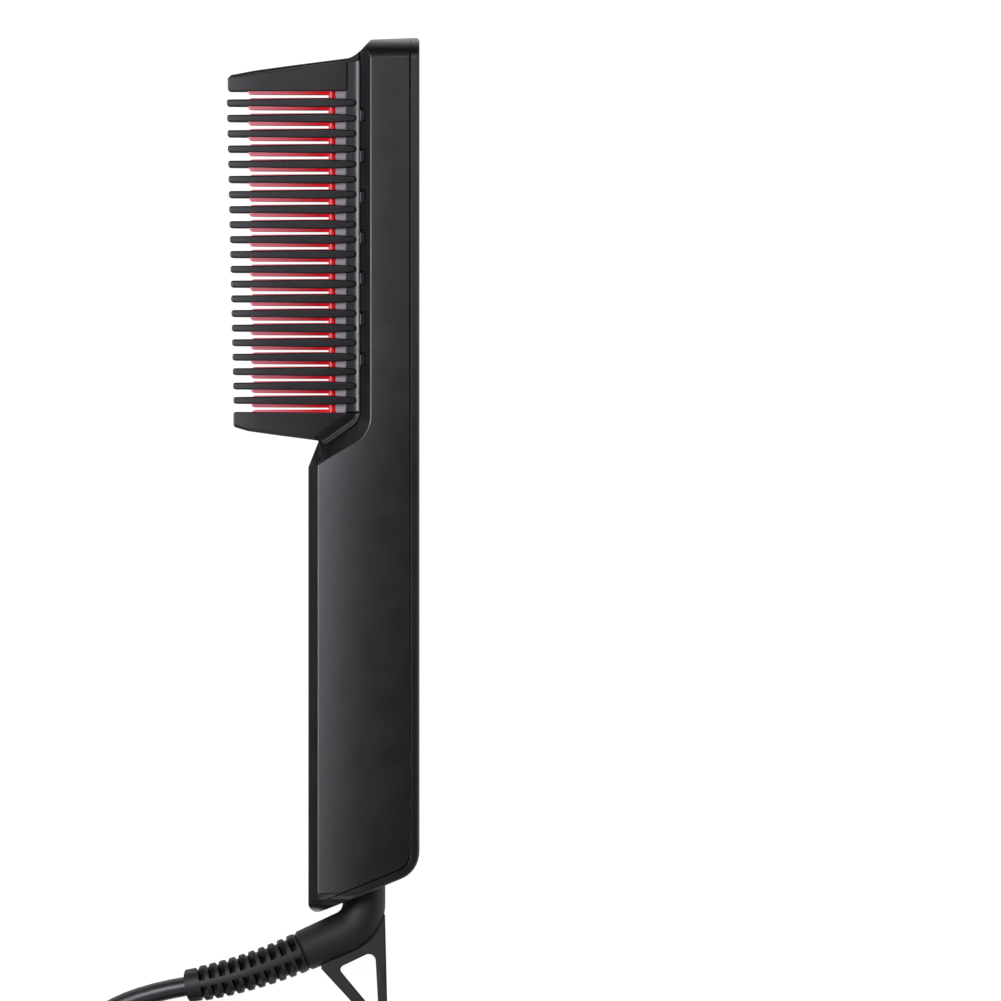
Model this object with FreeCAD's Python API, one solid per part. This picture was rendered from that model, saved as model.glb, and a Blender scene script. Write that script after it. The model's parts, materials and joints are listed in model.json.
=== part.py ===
"""Heated straightening comb with a folded-away mains lead.

The comb lies on one flat side. X runs from the comb teeth (-X) to the display face (+X),
Y runs along the body towards the comb's far end, and Z points up, across the body.
The origin is on the flat side that it rests on, half way along the body and straight
below the axis of the lead's swivel. Sizes are in millimetres.
"""

import FreeCAD, Part
import math
import os

V = FreeCAD.Vector

# ---- body ----
HANDLE_LENGTH = 147.6       # lower end to where the back steps in
SHOULDER_RISE = 18.3        # from that step to the first gap of the comb
TIP_HEIGHT = 17.9           # from the comb's last gap to the far end
BODY_WIDTH = 31.4           # side to side, along Z
FRONT_X = 18.4              # display face, from the swivel axis
BACK_X = -18.4              # back of the handle
SEAT_X = -1.0               # face of the head that carries the comb guard
WALL = 2.0                  # housing wall
EDGE_ALONG = 3.3            # bevel of the rear edges, measured along X
EDGE_ACROSS = 2.2           # the same bevel, measured along Z
FRONT_BEVEL = 0.6           # small bevel round the display face
SLANT_DEG = 22.3            # slope of the lower end
SLANT_DROP = 1.5            # how far the slope's sharp corner would pass the lower end
HEEL_RADIUS = 3.0           # rear corner of the lower end
TOE_RADIUS = 9.5            # front corner of the lower end
SHOULDER_OUT = 3.5          # the small lip at the shoulder, forward of the back
SHOULDER_UP = 8.7           # the lip's height over the step
FOOT_OUT = 6.0              # foot of the guard's seat, forward of the back
FOOT_UP = 7.3               # its height over the step
KNEE_DROP = 3.0             # the seat's bend, below the first gap
KNEE_RADIUS = 5.2
CREASE_RADIUS = 10.3        # the same bend, on the side face
CREASE_RISE = 10.9          # its corner, over the step
TIP_SLOPE = 0.7             # fall of the far end towards the comb
TIP_CHAMFER_DROP = 4.3
END_ARC = 45.0              # radius of the far end, seen from the front
END_CORNER = 6.0
HEEL_ARC = 38.0             # radius of the lower end, seen from the front
HEEL_CORNER = 5.0

# ---- front frame and inlay ----
FRAME_DEPTH = 2.8           # the frame's visible band
SEAM = 0.3                  # groove between frame and housing
SEAM_DEPTH = 0.5
BEZEL = 2.6                 # frame left on each side of the inlay
INLAY_RECESS = 0.5          # the inlay's face, below the frame's edge
INLAY_THICK = 1.2
INLAY_GAP = 0.1             # clearance round the inlay
RAIL_THICK = 1.0            # locating rails of the frame, inside the housing
RAIL_DEPTH = 2.4
FIT = 0.1                   # general clearance between seated pieces

# ---- keys ----
KEY_COUNT = 3
KEY_PITCH = 14.45
FIRST_KEY = 70.2            # centre of the power key, from the lower end
KEY_WIDE = 12.6             # along Z
KEY_TALL = 7.7              # along Y
KEY_CORNER = 3.2
KEY_GAP = 0.15
KEY_PROUD = 0.4             # the key's face, over the inlay
KEY_DOME = 0.5              # bevel round the key's face
KEY_FLANGE = 0.8            # how far the flange reaches past the key
KEY_FLANGE_THICK = 1.0
KEY_TRAVEL = 0.5
RING_WALL_WIDE = 0.5        # trim ring, along Z
RING_WALL_TALL = 0.7        # trim ring, along Y
RING_PROUD = 0.25

# ---- board and display ----
DISPLAY_CENTRE = 128.8      # from the lower end
DISPLAY_LONG = 30.1
DISPLAY_WIDE = 14.0
DISPLAY_DEEP = 7.2
BOARD_THICK = 1.6
BOARD_GAP = 0.6             # board's long edges to the frame's rails
BOARD_LOW = 54.0            # from the lower end
BOARD_LONG = 100.0
SWITCH_SIDE = 6.0
SWITCH_DEEP = 3.6
PLUNGER_RADIUS = 1.7
PLUNGER_SEAT = 1.2          # depth of the plunger's hole in the switch
POST_RADIUS = 2.6
POST_INSET = 4.0            # post centres from the board's ends
SCREW_RADIUS = 1.0
SCREW_HEAD_RADIUS = 1.9
SCREW_HEAD = 1.2
SCREW_GAP = 0.05
SCREW_BITE = 4.0            # thread length in a post

# ---- comb ----
RIB_COUNT = 21
RIB_PITCH = 4.93
RIB_BUNCH = 0.93            # how far the middle rib sits nearer the lead than even spacing puts it
END_GAP = 3.8               # from an end rib's centre to the end tooth beside it
RIB_TIP_X = -44.2
RIB_THICK = 3.0
RIB_TIP_THICK = 2.35
RIB_ROOT_THICK = 2.2
RIB_WIDTH = 2.4             # along Z
RIB_LEAN = 1.0              # how much further the far tooth reaches than the near one
GUARD_INSET = 2.3           # ribs' outer faces, in from the body's side face
FLANK_INSET = 0.8           # guard wall's outer face, in from the ribs' outer faces
FLANK_THICK = 2.0
FLANK_TOP_X = -6.1          # guard wall's edge between the ribs
BAND = 1.5                  # slanted strip round the guard's foot
TAB_COUNT = 7
TAB_PITCH = 13.5
TAB_LONG = 4.0
TAB_OUT = 1.4
TAB_LOWEST = 17.5           # centre of the first tab, above the gap's lower end
TIP_TOOTH_ROOT = 10.2       # height of the far end tooth at its root
TIP_TOOTH_END = 4.7         # and at its tip
HEEL_TOOTH_END = 5.0        # height of the near end tooth at its tip
HEEL_TOOTH_MID = 8.0
END_WALL = 1.9              # wall of the end caps
CAP_LIP = 0.8               # how far a cap shows past the side combs

FIN_COUNT = RIB_COUNT + 2
FIN_TIP_X = -37.9
FIN_ROOT_X = -10.8
FIN_THICK = 4.2
FIN_TIP_THICK = 3.9
FIN_SHIFT = -0.35           # heated teeth sit towards the lead
FIN_INSET = 2.5             # their side faces, in from the carrier's
RIDGE_DEEP = 1.6            # ridge between the heated teeth and the carrier's rim
RIDGE_INSET = 0.3
BLOCK_BACK_X = -5.0
CARRIER_WALL = 1.0
CARRIER_GAP = 0.6           # carrier to the guard's walls
BOSS_RADIUS = 2.0           # carrier's bosses under the block
ELEMENT_COUNT = 2
ELEMENT_LONG = 44.0
ELEMENT_THICK = 1.3
CLAMP_THICK = 0.8
CUTOUT_RADIUS = 1.4
CUTOUT_LONG = 11.0
CUTOUT_AHEAD = 30.0         # cut-out's middle, past the sensor
SENSOR_RADIUS = 0.9
SENSOR_DEEP = 1.5
SENSOR_GAP = 0.3            # elements to the sensor and the cut-out

# ---- swivel and lead ----
NECK_RADIUS = 7.1
NECK_GAP = 0.35
JOURNAL_RADIUS = 5.5
JOURNAL_GAP = 0.05
RETAINER_THICK = 2.0
RETAINER_LIFT = 13.1        # underside of the retainer, over the lower end
RETAINER_FRONT = 8.2
CLIP_THICK = 1.0
CLIP_RADIUS = 7.0
CLIP_SHAFT = 4.6
CORE_RADIUS = 3.6
CORE_LENGTH = 13.0
SLIP_RADIUS = 4.7
SLIP_WIDE = 3.0
SLIP_FIRST = 2.5
SLIP_PITCH = 6.0
ELBOW_DROP = 4.0            # corner of the elbow's axis, below the lower end
ELBOW_BEND = 10.5
ELBOW_DEG = 24.0            # fall of the outgoing arm
ELBOW_ARM = 22.6            # corner to the arm's end
ARM_RADIUS = 6.8
LOOP_THICK = 4.2
LOOP_LEFT = (-8.6, -18.6)   # opening's corners, from the swivel axis and the lower end
LOOP_RIGHT = (3.7, -12.7)
LOOP_LOW = (4.9, -34.8)
LOOP_RADII = (1.2, 2.2, 1.3)
LOOP_TIP_BELOW = 8.2        # outer tip, below the opening
LOOP_TIP_RADIUS = 3.6
LOOP_LEG = 5.6              # left leg, across
LEAF_THICK = 0.4            # contact leaves
LEAF_WIDE = 3.0
HOLDER_BACK_GAP = 5.3       # holder's face to the slip rings
HOLDER_WIDE = 10.0
HOLDER_OVER = 2.5           # holder past the rings at each end
SUPPLY_LEAD_RADIUS = 0.8
SUPPLY_LEAD_SIDE = 3.0
SUPPLY_LEAD_LAND = 9.0      # where it meets the board, over the board's lower edge
HEATER_LEAD_RADIUS = 0.7
HEATER_LEAD_SIDE = 1.1
HEATER_LEAD_LAND = 6.0      # below the board's upper edge

RELIEF_RINGS = 10
RELIEF_FIRST = 2.25         # first ring, from the elbow
RELIEF_PITCH = 3.5
RELIEF_COLLAR = 3.8         # plain collar at the far end
RELIEF_LENGTH = 20.1        # each of the two sides of its axis' control triangle
RELIEF_START_RADIUS = 6.75
RELIEF_END_RADIUS = 5.7
RELIEF_CORE_START = 5.1
RELIEF_CORE_END = 4.3
RELIEF_RING = 2.0
RELIEF_SPINE = 3.0
RELIEF_END_DEG = 9.5        # fall of its far end
RELIEF_DIVE_DEG = 13.4      # and how far that end points to the floor

CORD_RADIUS = 3.25
FLOOR_GAP = 0.05
COIL_X = -62.0
COIL_BELOW = 86.0           # coil centre, below the lower end
COIL_MEAN = 37.0            # radius to the middle of its turns
COIL_COLUMNS = 4
COIL_LAYERS = 2
TIE_DEG = 38.0
TIE_WIDE = 9.0
TIE_THICK = 0.8

PLUG_WIDE = 35.3
PLUG_HIGH = 13.7
PLUG_LONG = 34.0
PLUG_NECK = 18.0
PLUG_X = -53.0              # where the cord meets the plug's tail
PLUG_BELOW = 159.0          # plug's axis, below the lower end
PIN_RADIUS = 2.0
PIN_LENGTH = 19.0
PIN_SPACING = 18.6
PIN_ROOT = 8.0              # length moulded into the plug
PIN_ROOT_RADIUS = 1.6

# ---- worked out ----
MID_Z = BODY_WIDTH / 2
GUARD_HALF = MID_Z - GUARD_INSET
FLANK_HALF = GUARD_HALF - FLANK_INSET
FLANK_IN = FLANK_HALF - FLANK_THICK
CARRIER_HALF = FLANK_IN - CARRIER_GAP
CARRIER_TOP_X = FIN_ROOT_X + RIDGE_DEEP
FIN_HALF = CARRIER_HALF - FIN_INSET
RIDGE_HALF = CARRIER_HALF - RIDGE_INSET
BLOCK_HALF = CARRIER_HALF - CARRIER_WALL - 0.2
BOSS_SIDE = BLOCK_HALF - BOSS_RADIUS
ELEMENT_HALF = BOSS_SIDE - BOSS_RADIUS - SENSOR_GAP
BOARD_WIDE = BODY_WIDTH - 2 * (WALL + FIT + RAIL_THICK + BOARD_GAP)
POST_SIDE = BOARD_WIDE / 2 - POST_INSET + 1.0
COMB_SPAN = 2 * END_GAP + (RIB_COUNT - 1) * RIB_PITCH
BODY_LENGTH = HANDLE_LENGTH + SHOULDER_RISE + COMB_SPAN + TIP_HEIGHT
LOWER_END = -BODY_LENGTH / 2
TOP_END = BODY_LENGTH / 2
STEP_Y = LOWER_END + HANDLE_LENGTH
GAP_LOW = STEP_Y + SHOULDER_RISE
GAP_HIGH = GAP_LOW + COMB_SPAN
SLANT = math.radians(SLANT_DEG)
CREASE_X = SEAT_X + EDGE_ALONG
FOOT = (BACK_X + FOOT_OUT, STEP_Y + FOOT_UP)
KNEE = (SEAT_X, GAP_LOW - KNEE_DROP)
SEAT_END = (SEAT_X, TOP_END - TIP_CHAMFER_DROP)
JOINT_X = FRONT_X - FRAME_DEPTH
INLAY_FACE = FRONT_X - INLAY_RECESS
INLAY_BACK = INLAY_FACE - INLAY_THICK
DISPLAY_BACK = INLAY_BACK - FIT - DISPLAY_DEEP
BOARD_BACK = DISPLAY_BACK - BOARD_THICK
KEY_FACE = INLAY_FACE + KEY_PROUD
KEY_STOP = JOINT_X - FIT
KEY_BACK = KEY_STOP - KEY_FLANGE_THICK
LONG = 4 * FRONT_X + BODY_LENGTH            # longer than anything that is cut
PLUG_TAIL_Y = LOWER_END - PLUG_BELOW


def slant_y(x, inset=0.0):
    """Height of the slanted lower end at x, moved into the body by inset."""
    return LOWER_END - SLANT_DROP + math.tan(SLANT) * (x - BACK_X) + inset / math.cos(SLANT)


def rib_y(i):
    """Centre of rib i, counted from the lead's end: the spacing widens steadily towards the far end."""
    share = i / (RIB_COUNT - 1)
    return GAP_LOW + END_GAP + i * RIB_PITCH - 4 * RIB_BUNCH * share * (1 - share)


def key_y(i):
    return LOWER_END + FIRST_KEY + i * KEY_PITCH


# ---- small tools ----
def corner_edges(corners):
    """Edges of a closed outline: each corner is (point, radius), and a radius rounds it."""
    ends = []
    for i, (p, r) in enumerate(corners):
        before = (corners[i - 1][0] - p).normalize()
        after = (corners[(i + 1) % len(corners)][0] - p).normalize()
        if r <= 0:
            ends.append((p, None, p))
            continue
        half = before.getAngle(after) / 2
        cut = r / math.tan(half)
        middle = p + (before + after).normalize() * (r / math.sin(half) - r)
        ends.append((p + before * cut, middle, p + after * cut))
    edges = []
    for i, (start, middle, end) in enumerate(ends):
        if middle is not None:
            edges.append(Part.Arc(start, middle, end).toShape())
        following = ends[(i + 1) % len(ends)][0]
        if end.distanceToPoint(following) > 1e-6:
            edges.append(Part.LineSegment(end, following).toShape())
    return edges


def side_wire(corners, z):
    """Closed outline in the side view from (x, y) or (x, y, radius) corners, at height z."""
    placed = [(V(c[0], c[1], z), c[2] if len(c) > 2 else 0.0) for c in corners]
    return Part.Wire(corner_edges(placed))


def side_prism(corners, low, high):
    """Side-view outline carried from z = low to z = high."""
    return Part.Face(side_wire(corners, low)).extrude(V(0, 0, high - low))


def front_prism(corners, x_low, x_high):
    """Front-view outline of (y, z) or (y, z, radius) corners carried along X."""
    placed = [(V(x_low, c[0], c[1]), c[2] if len(c) > 2 else 0.0) for c in corners]
    return Part.Face(Part.Wire(corner_edges(placed))).extrude(V(x_high - x_low, 0, 0))


def block(x, y, z):
    """Box between the two values of each of x, y and z."""
    return Part.makeBox(x[1] - x[0], y[1] - y[0], z[1] - z[0], V(x[0], y[0], z[0]))


def rod(radius, start, end):
    along = end - start
    return Part.makeCylinder(radius, along.Length, start, along)


def fused(shapes):
    whole = shapes[0].multiFuse(shapes[1:]) if len(shapes) > 1 else shapes[0]
    return whole.removeSplitter()


def lofted(wires):
    """Ruled solid through the wires, turned so that its volume is positive."""
    solid = Part.makeLoft(wires, True, True)
    return solid.reversed() if solid.Volume < 0 else solid


def capsule(x, y_mid, z_mid, tall, wide, radius):
    """Rounded rectangle tall along Y and wide along Z, carried between the two x values."""
    y, z = tall / 2, wide / 2
    corners = [(y_mid - y, z_mid - z, radius), (y_mid + y, z_mid - z, radius),
               (y_mid + y, z_mid + z, radius), (y_mid - y, z_mid + z, radius)]
    return front_prism(corners, x[0], x[1])


def routed_tube(points, radius):
    """Tube along straight runs joined by the largest tangent arcs that the runs allow."""
    edges, start, bends = [], points[0], []
    for before, at, after in zip(points, points[1:], points[2:]):
        back, on = (before - at), (after - at)
        turn = math.pi - back.getAngle(on)
        bend = 0.45 * min(back.Length, on.Length) / math.tan(turn / 2)
        cut = bend * math.tan(turn / 2)
        back.normalize()
        on.normalize()
        middle = at + (back + on).normalize() * (bend / math.cos(turn / 2) - bend)
        edges.append(Part.LineSegment(start, at + back * cut).toShape())
        edges.append(Part.Arc(at + back * cut, middle, at + on * cut).toShape())
        start = at + on * cut
        bends.append(bend)
    edges.append(Part.LineSegment(start, points[-1]).toShape())
    path = Part.Wire(edges)
    section = Part.Wire(Part.makeCircle(radius, points[0], points[1] - points[0]))
    tube = path.makePipeShell([section], True, False)
    share = tube.Volume / (math.pi * radius ** 2 * path.Length)
    print(f"tube: length {path.Length:.1f}, radii {[round(b, 1) for b in bends]}, volume share {share:.4f}")
    return tube


# ---- body outline ----
def body_corners(depth):
    """Side view of the whole body at a depth below its side face: the bevels grow with it."""
    rear = min(1.0, depth / EDGE_ACROSS)
    front = FRONT_BEVEL - min(depth, FRONT_BEVEL)

    def between(crease, full):
        return tuple(a + (b - a) * rear for a, b in zip(crease, full))

    crease_back = BACK_X + EDGE_ALONG - 0.1
    crease_low = STEP_Y + 0.7
    corner = (CREASE_X, STEP_Y + CREASE_RISE)
    slope = (corner[1] - crease_low) / (corner[0] - crease_back)

    def on_crease(x):
        return (x, crease_low + slope * (x - crease_back))

    lip = (BACK_X + SHOULDER_OUT, STEP_Y + SHOULDER_UP)
    front_x = FRONT_X - front
    return [
        between((crease_back, slant_y(crease_back, front), 2.0),
                (BACK_X, slant_y(BACK_X, front), HEEL_RADIUS)),
        between((crease_back, crease_low, 0.0), (BACK_X, STEP_Y, 0.0)),
        between(on_crease(crease_back + 1.3), lip),
        between(on_crease(crease_back + 3.2), FOOT),
        between((*corner, CREASE_RADIUS), (*KNEE, KNEE_RADIUS)),
        between((CREASE_X, SEAT_END[1]), SEAT_END),
        between((CREASE_X + 0.3, TOP_END - TIP_SLOPE - front), (CREASE_X, TOP_END - TIP_SLOPE - front)),
        (front_x, TOP_END - front, 1.2),
        (front_x, slant_y(front_x, front), TOE_RADIUS - front),
    ]


def end_outline(inset=0.0):
    """Front view of the whole body: straight sides and bowed ends with rounded corners."""
    half = BODY_WIDTH / 2 - inset
    points = []
    for sign, end, arc, corner in ((1, TOP_END, END_ARC, END_CORNER),
                                   (-1, LOWER_END, HEEL_ARC, HEEL_CORNER)):
        big, small = arc - inset, max(corner - inset, 0.5)
        side = half - small
        rise = math.sqrt((big - small) ** 2 - side ** 2)
        centre = end - sign * arc
        touch = big / (big - small)
        points.append((sign, end - sign * inset, centre + sign * rise, side, touch, centre, small))
    edges = []
    ring = []
    for sign, end, y_corner, side, touch, centre, small in points:
        ring.append({
            "side": (y_corner, half), "bow": (centre + (y_corner - centre) * touch, side * touch),
            "mid": (y_corner + sign * small * math.sin(math.radians(45)),
                    side + small * math.cos(math.radians(45))),
            "peak": (end, 0.0), "sign": sign, "centre": (y_corner, side), "small": small})

    def place(p, flip=1.0):
        return V(-LONG / 2, p[0], MID_Z + flip * p[1])

    def corner_arc(e, flip):
        turn = math.atan2(e["sign"] * (e["bow"][0] - e["centre"][0]), e["bow"][1] - e["centre"][1]) / 2
        mid = (e["centre"][0] + e["sign"] * e["small"] * math.sin(turn),
               e["centre"][1] + e["small"] * math.cos(turn))
        return Part.Arc(place(e["side"], flip), place(mid, flip), place(e["bow"], flip)).toShape()

    top, low = ring
    for e in (top, low):
        edges += [corner_arc(e, 1), corner_arc(e, -1)]
        edges.append(Part.Arc(place(e["bow"], 1), place(e["peak"]), place(e["bow"], -1)).toShape())
    for flip in (1, -1):
        edges.append(Part.LineSegment(place(top["side"], flip), place(low["side"], flip)).toShape())
    wire = Part.Wire(Part.__sortEdges__(edges))
    return Part.Face(wire).extrude(V(LONG, 0, 0))


def body_envelope():
    """Everything inside the outer skin of housing and frame."""
    depths = (0.0, FRONT_BEVEL, EDGE_ACROSS)
    slabs = []
    for low, high in zip(depths, depths[1:]):
        near = [side_wire(body_corners(d), d) for d in (low, high)]
        far = [side_wire(body_corners(d), BODY_WIDTH - d) for d in (low, high)]
        slabs += [lofted(near), lofted(far)]
    slabs.append(side_prism(body_corners(EDGE_ACROSS), EDGE_ACROSS, BODY_WIDTH - EDGE_ACROSS))
    return slabs[0].multiFuse(slabs[1:]).common(end_outline())


def front_band(inset_out, inset_in, low, high):
    """Band along the display face, round the toe and under the slanted end."""
    far_y = TOP_END + 10.0
    far_x = BACK_X - 10.0
    outer, inner = FRONT_X - inset_out, FRONT_X - inset_in
    band = [
        (outer, far_y), (outer, slant_y(outer, inset_out), TOE_RADIUS - inset_out),
        (far_x, slant_y(far_x, inset_out)), (far_x, slant_y(far_x, inset_in)),
        (inner, slant_y(inner, inset_in), TOE_RADIUS - inset_in), (inner, far_y)]
    return side_prism(band, low, high)


def neck_bore(radius):
    return rod(radius, V(0, LOWER_END - 20, MID_Z),
               V(0, slant_y(NECK_RADIUS * 1.3, FRAME_DEPTH + 1.5), MID_Z))


# ---- housing ----
def housing_cavity():
    """Room inside the housing, open to the front frame."""
    back = BACK_X + WALL
    slope = math.atan2(KNEE[1] - FOOT[1], KNEE[0] - FOOT[0])
    rise = WALL / math.cos(slope)

    def seat(x):
        return FOOT[1] + math.tan(slope) * (x - FOOT[0]) - rise

    inner = SEAT_X + WALL
    step_low = STEP_Y - 1.0
    corners = [
        (back, slant_y(back, -5.0)), (back, step_low, 1.0), (FOOT[0], seat(FOOT[0])),
        (inner, seat(inner), KNEE_RADIUS + WALL), (inner, TOP_END - TIP_CHAMFER_DROP - 0.5),
        (inner + 2.0, TOP_END + 5.0), (FRONT_X + 5.0, TOP_END + 5.0),
        (FRONT_X + 5.0, slant_y(FRONT_X, -5.0))]
    return side_prism(corners, WALL, BODY_WIDTH - WALL).common(end_outline(WALL))


def tab_places():
    return [GAP_LOW + TAB_LOWEST + i * TAB_PITCH for i in range(TAB_COUNT)]


def lead_hole():
    """Hole through seat wall and carrier for the heater's leads."""
    y = GAP_LOW + HEATER_LEAD_LAND
    return rod(2.4, V(SEAT_X - 4.0, y, MID_Z), V(SEAT_X + WALL + 1.0, y, MID_Z))


def head_screws_at():
    """(point on the seat, outward direction, thread) of the screws put in from inside the head."""
    foot, knee, _ = seat_line(0.0)
    slope = math.atan2(knee[1] - foot[1], knee[0] - foot[0])
    down = V(-math.sin(slope), math.cos(slope), 0)
    out = V(-1, 0, 0)
    block_y = clamp_screw_y()[1]
    places = []
    for side in (1, -1):
        z = MID_Z + side * 5.0
        places.append((V(foot[0] + 2.8, foot[1] + 2.8 * math.tan(slope), z), down, SCREW_BITE - 0.6))
        places.append((V(SEAT_X, GAP_HIGH + 6.4, z), out, SCREW_BITE))
        places.append((V(SEAT_X, block_y, MID_Z + side * BOSS_SIDE), out, SEAT_X - BLOCK_BACK_X + 2.4))
    return places


def head_screw_holes(grow, past):
    """Bores on the axes of those screws, from inside the wall to past their ends."""
    return Part.makeCompound([rod(SCREW_RADIUS + grow, at - out * (WALL + 2), at + out * (bite + past))
                              for at, out, bite in head_screws_at()])


def rear_housing(envelope):
    shell = envelope.cut(front_band(-5.0, FRAME_DEPTH, -1.0, BODY_WIDTH + 1.0))
    shell = shell.cut(housing_cavity())
    for low, high in ((-1.0, SEAM_DEPTH), (BODY_WIDTH - SEAM_DEPTH, BODY_WIDTH + 1.0)):
        shell = shell.cut(front_band(FRAME_DEPTH - 0.5, FRAME_DEPTH + SEAM, low, high))
    tools = []
    for y in tab_places():
        half = TAB_LONG / 2 + FIT
        for low, high in ((FLANK_HALF - 0.8, BODY_WIDTH), (-BODY_WIDTH, -FLANK_HALF + 0.8)):
            tools.append(block((SEAT_X - 1, SEAT_X + TAB_OUT + FIT), (y - half, y + half),
                               (MID_Z + low, MID_Z + high)))
    tools.append(lead_hole())
    shell = shell.cut(Part.makeCompound(tools)).cut(head_screw_holes(SCREW_GAP, 0.3))
    ledges = []
    for low, high in ((RETAINER_LIFT - 2.0, RETAINER_LIFT),
                      (RETAINER_LIFT + RETAINER_THICK, RETAINER_LIFT + RETAINER_THICK + 2.0)):
        for z in ((WALL - 0.2, WALL + 1.5), (BODY_WIDTH - WALL - 1.5, BODY_WIDTH - WALL + 0.2)):
            ledges.append(block((BACK_X + WALL, -1.0), (LOWER_END + low, LOWER_END + high), z))
    return fused([shell, *ledges])


# ---- front ----
def key_window(i, x, grow_tall, grow_wide):
    return capsule(x, key_y(i), MID_Z, KEY_TALL + 2 * grow_tall, KEY_WIDE + 2 * grow_wide,
                   KEY_CORNER + min(grow_tall, grow_wide))


def display_box(x, grow=0.0):
    y = LOWER_END + DISPLAY_CENTRE
    return block(x, (y - DISPLAY_LONG / 2 - grow, y + DISPLAY_LONG / 2 + grow),
                 (MID_Z - DISPLAY_WIDE / 2 - grow, MID_Z + DISPLAY_WIDE / 2 + grow))


def post_places():
    low, high = LOWER_END + BOARD_LOW, LOWER_END + BOARD_LOW + BOARD_LONG
    return [(y, MID_Z + z) for y in (low + POST_INSET, high - POST_INSET) for z in (POST_SIDE, -POST_SIDE)]


def front_frame(envelope):
    frame = envelope.common(front_band(-5.0, FRAME_DEPTH, -1.0, BODY_WIDTH + 1.0))
    tray = front_band(-5.0, INLAY_RECESS + INLAY_THICK, 0.0, BODY_WIDTH).common(end_outline(BEZEL))
    frame = frame.cut(tray)
    through = (KEY_BACK, FRONT_X + 2)
    tools = [key_window(i, through, KEY_GAP, KEY_GAP) for i in range(KEY_COUNT)]
    tools += [display_box(through, FIT), neck_bore(NECK_RADIUS + NECK_GAP)]
    frame = frame.cut(Part.makeCompound(tools))
    pieces = [frame]
    low_y, high_y = slant_y(JOINT_X, FRAME_DEPTH) + TOE_RADIUS, TOP_END - END_CORNER - WALL
    for z in ((WALL + FIT, WALL + FIT + RAIL_THICK),
              (BODY_WIDTH - WALL - FIT - RAIL_THICK, BODY_WIDTH - WALL - FIT)):
        pieces.append(block((JOINT_X - RAIL_DEPTH, JOINT_X + 0.2), (low_y, high_y), z))
    for y, z in post_places():
        pieces.append(rod(POST_RADIUS, V(DISPLAY_BACK, y, z), V(JOINT_X + 0.2, y, z)))
    frame = fused(pieces)
    pilots = [rod(SCREW_RADIUS + SCREW_GAP / 2, V(DISPLAY_BACK - 1, y, z),
                  V(DISPLAY_BACK + SCREW_BITE + 0.3, y, z))
              for y, z in post_places()]
    return frame.cut(Part.makeCompound(pilots))


def front_panel():
    """Gloss inlay: down the face, round the toe and up to the neck."""
    panel = front_band(INLAY_RECESS, INLAY_RECESS + INLAY_THICK, 0.0,
                       BODY_WIDTH).common(end_outline(BEZEL + INLAY_GAP))
    through = (KEY_BACK, FRONT_X + 2)
    tools = [key_window(i, through, KEY_GAP + RING_WALL_TALL + FIT / 2, KEY_GAP + RING_WALL_WIDE + FIT / 2)
             for i in range(KEY_COUNT)]
    tools.append(neck_bore(NECK_RADIUS + NECK_GAP))
    return panel.cut(Part.makeCompound(tools))


def button_rims():
    """Bright trim ring round each key."""
    rings = []
    for i in range(KEY_COUNT):
        x = (INLAY_BACK, INLAY_FACE + RING_PROUD)
        outer = key_window(i, x, KEY_GAP + RING_WALL_TALL, KEY_GAP + RING_WALL_WIDE)
        rings.append(outer.cut(key_window(i, (x[0] - 1, x[1] + 1), KEY_GAP, KEY_GAP)))
    return Part.makeCompound(rings)


def key(i):
    """Key cap with a bevelled face and a flange that stops under the frame."""
    cap = key_window(i, (KEY_STOP - 0.2, KEY_FACE - KEY_DOME), 0.0, 0.0)
    rim = [(key_y(i) + sy * (KEY_TALL / 2 - c), MID_Z + sz * (KEY_WIDE / 2 - c)) for c in (0.0, KEY_DOME)
           for sy, sz in ((-1, -1), (1, -1), (1, 1), (-1, 1))]
    wires = []
    for n, x in ((0, KEY_FACE - KEY_DOME), (4, KEY_FACE)):
        corners = [(V(x, y, z), KEY_CORNER - (KEY_DOME if n else 0.0)) for y, z in rim[n:n + 4]]
        wires.append(Part.Wire(corner_edges(corners)))
    crown = lofted(wires)
    flange = key_window(i, (KEY_BACK, KEY_STOP), KEY_FLANGE, KEY_FLANGE)
    return fused([cap, crown, flange])


def plunger(i):
    centre = V(KEY_BACK, key_y(i), MID_Z)
    seat = V(DISPLAY_BACK + SWITCH_DEEP - (PLUNGER_SEAT - KEY_TRAVEL - FIT), key_y(i), MID_Z)
    return rod(PLUNGER_RADIUS, seat, centre)


def tact_switches():
    switches = []
    half = SWITCH_SIDE / 2
    for i in range(KEY_COUNT):
        y = key_y(i)
        body = block((DISPLAY_BACK, DISPLAY_BACK + SWITCH_DEEP), (y - half, y + half),
                     (MID_Z - half, MID_Z + half))
        hole = rod(PLUNGER_RADIUS + JOURNAL_GAP, V(DISPLAY_BACK + SWITCH_DEEP - PLUNGER_SEAT, y, MID_Z),
                   V(DISPLAY_BACK + SWITCH_DEEP + 1, y, MID_Z))
        switches.append(body.cut(hole))
    return Part.makeCompound(switches)


# ---- electronics ----
def control_board():
    y = (LOWER_END + BOARD_LOW, LOWER_END + BOARD_LOW + BOARD_LONG)
    board = block((BOARD_BACK, DISPLAY_BACK), y, (MID_Z - BOARD_WIDE / 2, MID_Z + BOARD_WIDE / 2))
    holes = [rod(SCREW_RADIUS + SCREW_GAP, V(BOARD_BACK - 1, y, z), V(DISPLAY_BACK + 1, y, z))
             for y, z in post_places()]
    return board.cut(Part.makeCompound(holes))


def led_display():
    return display_box((DISPLAY_BACK, INLAY_BACK - FIT))


def board_screws():
    screws = []
    for y, z in post_places():
        shank = rod(SCREW_RADIUS, V(BOARD_BACK - 0.2, y, z), V(DISPLAY_BACK + SCREW_BITE, y, z))
        head = rod(SCREW_HEAD_RADIUS, V(BOARD_BACK - SCREW_HEAD, y, z), V(BOARD_BACK, y, z))
        screws.append(fused([shank, head]))
    return Part.makeCompound(screws)


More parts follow.
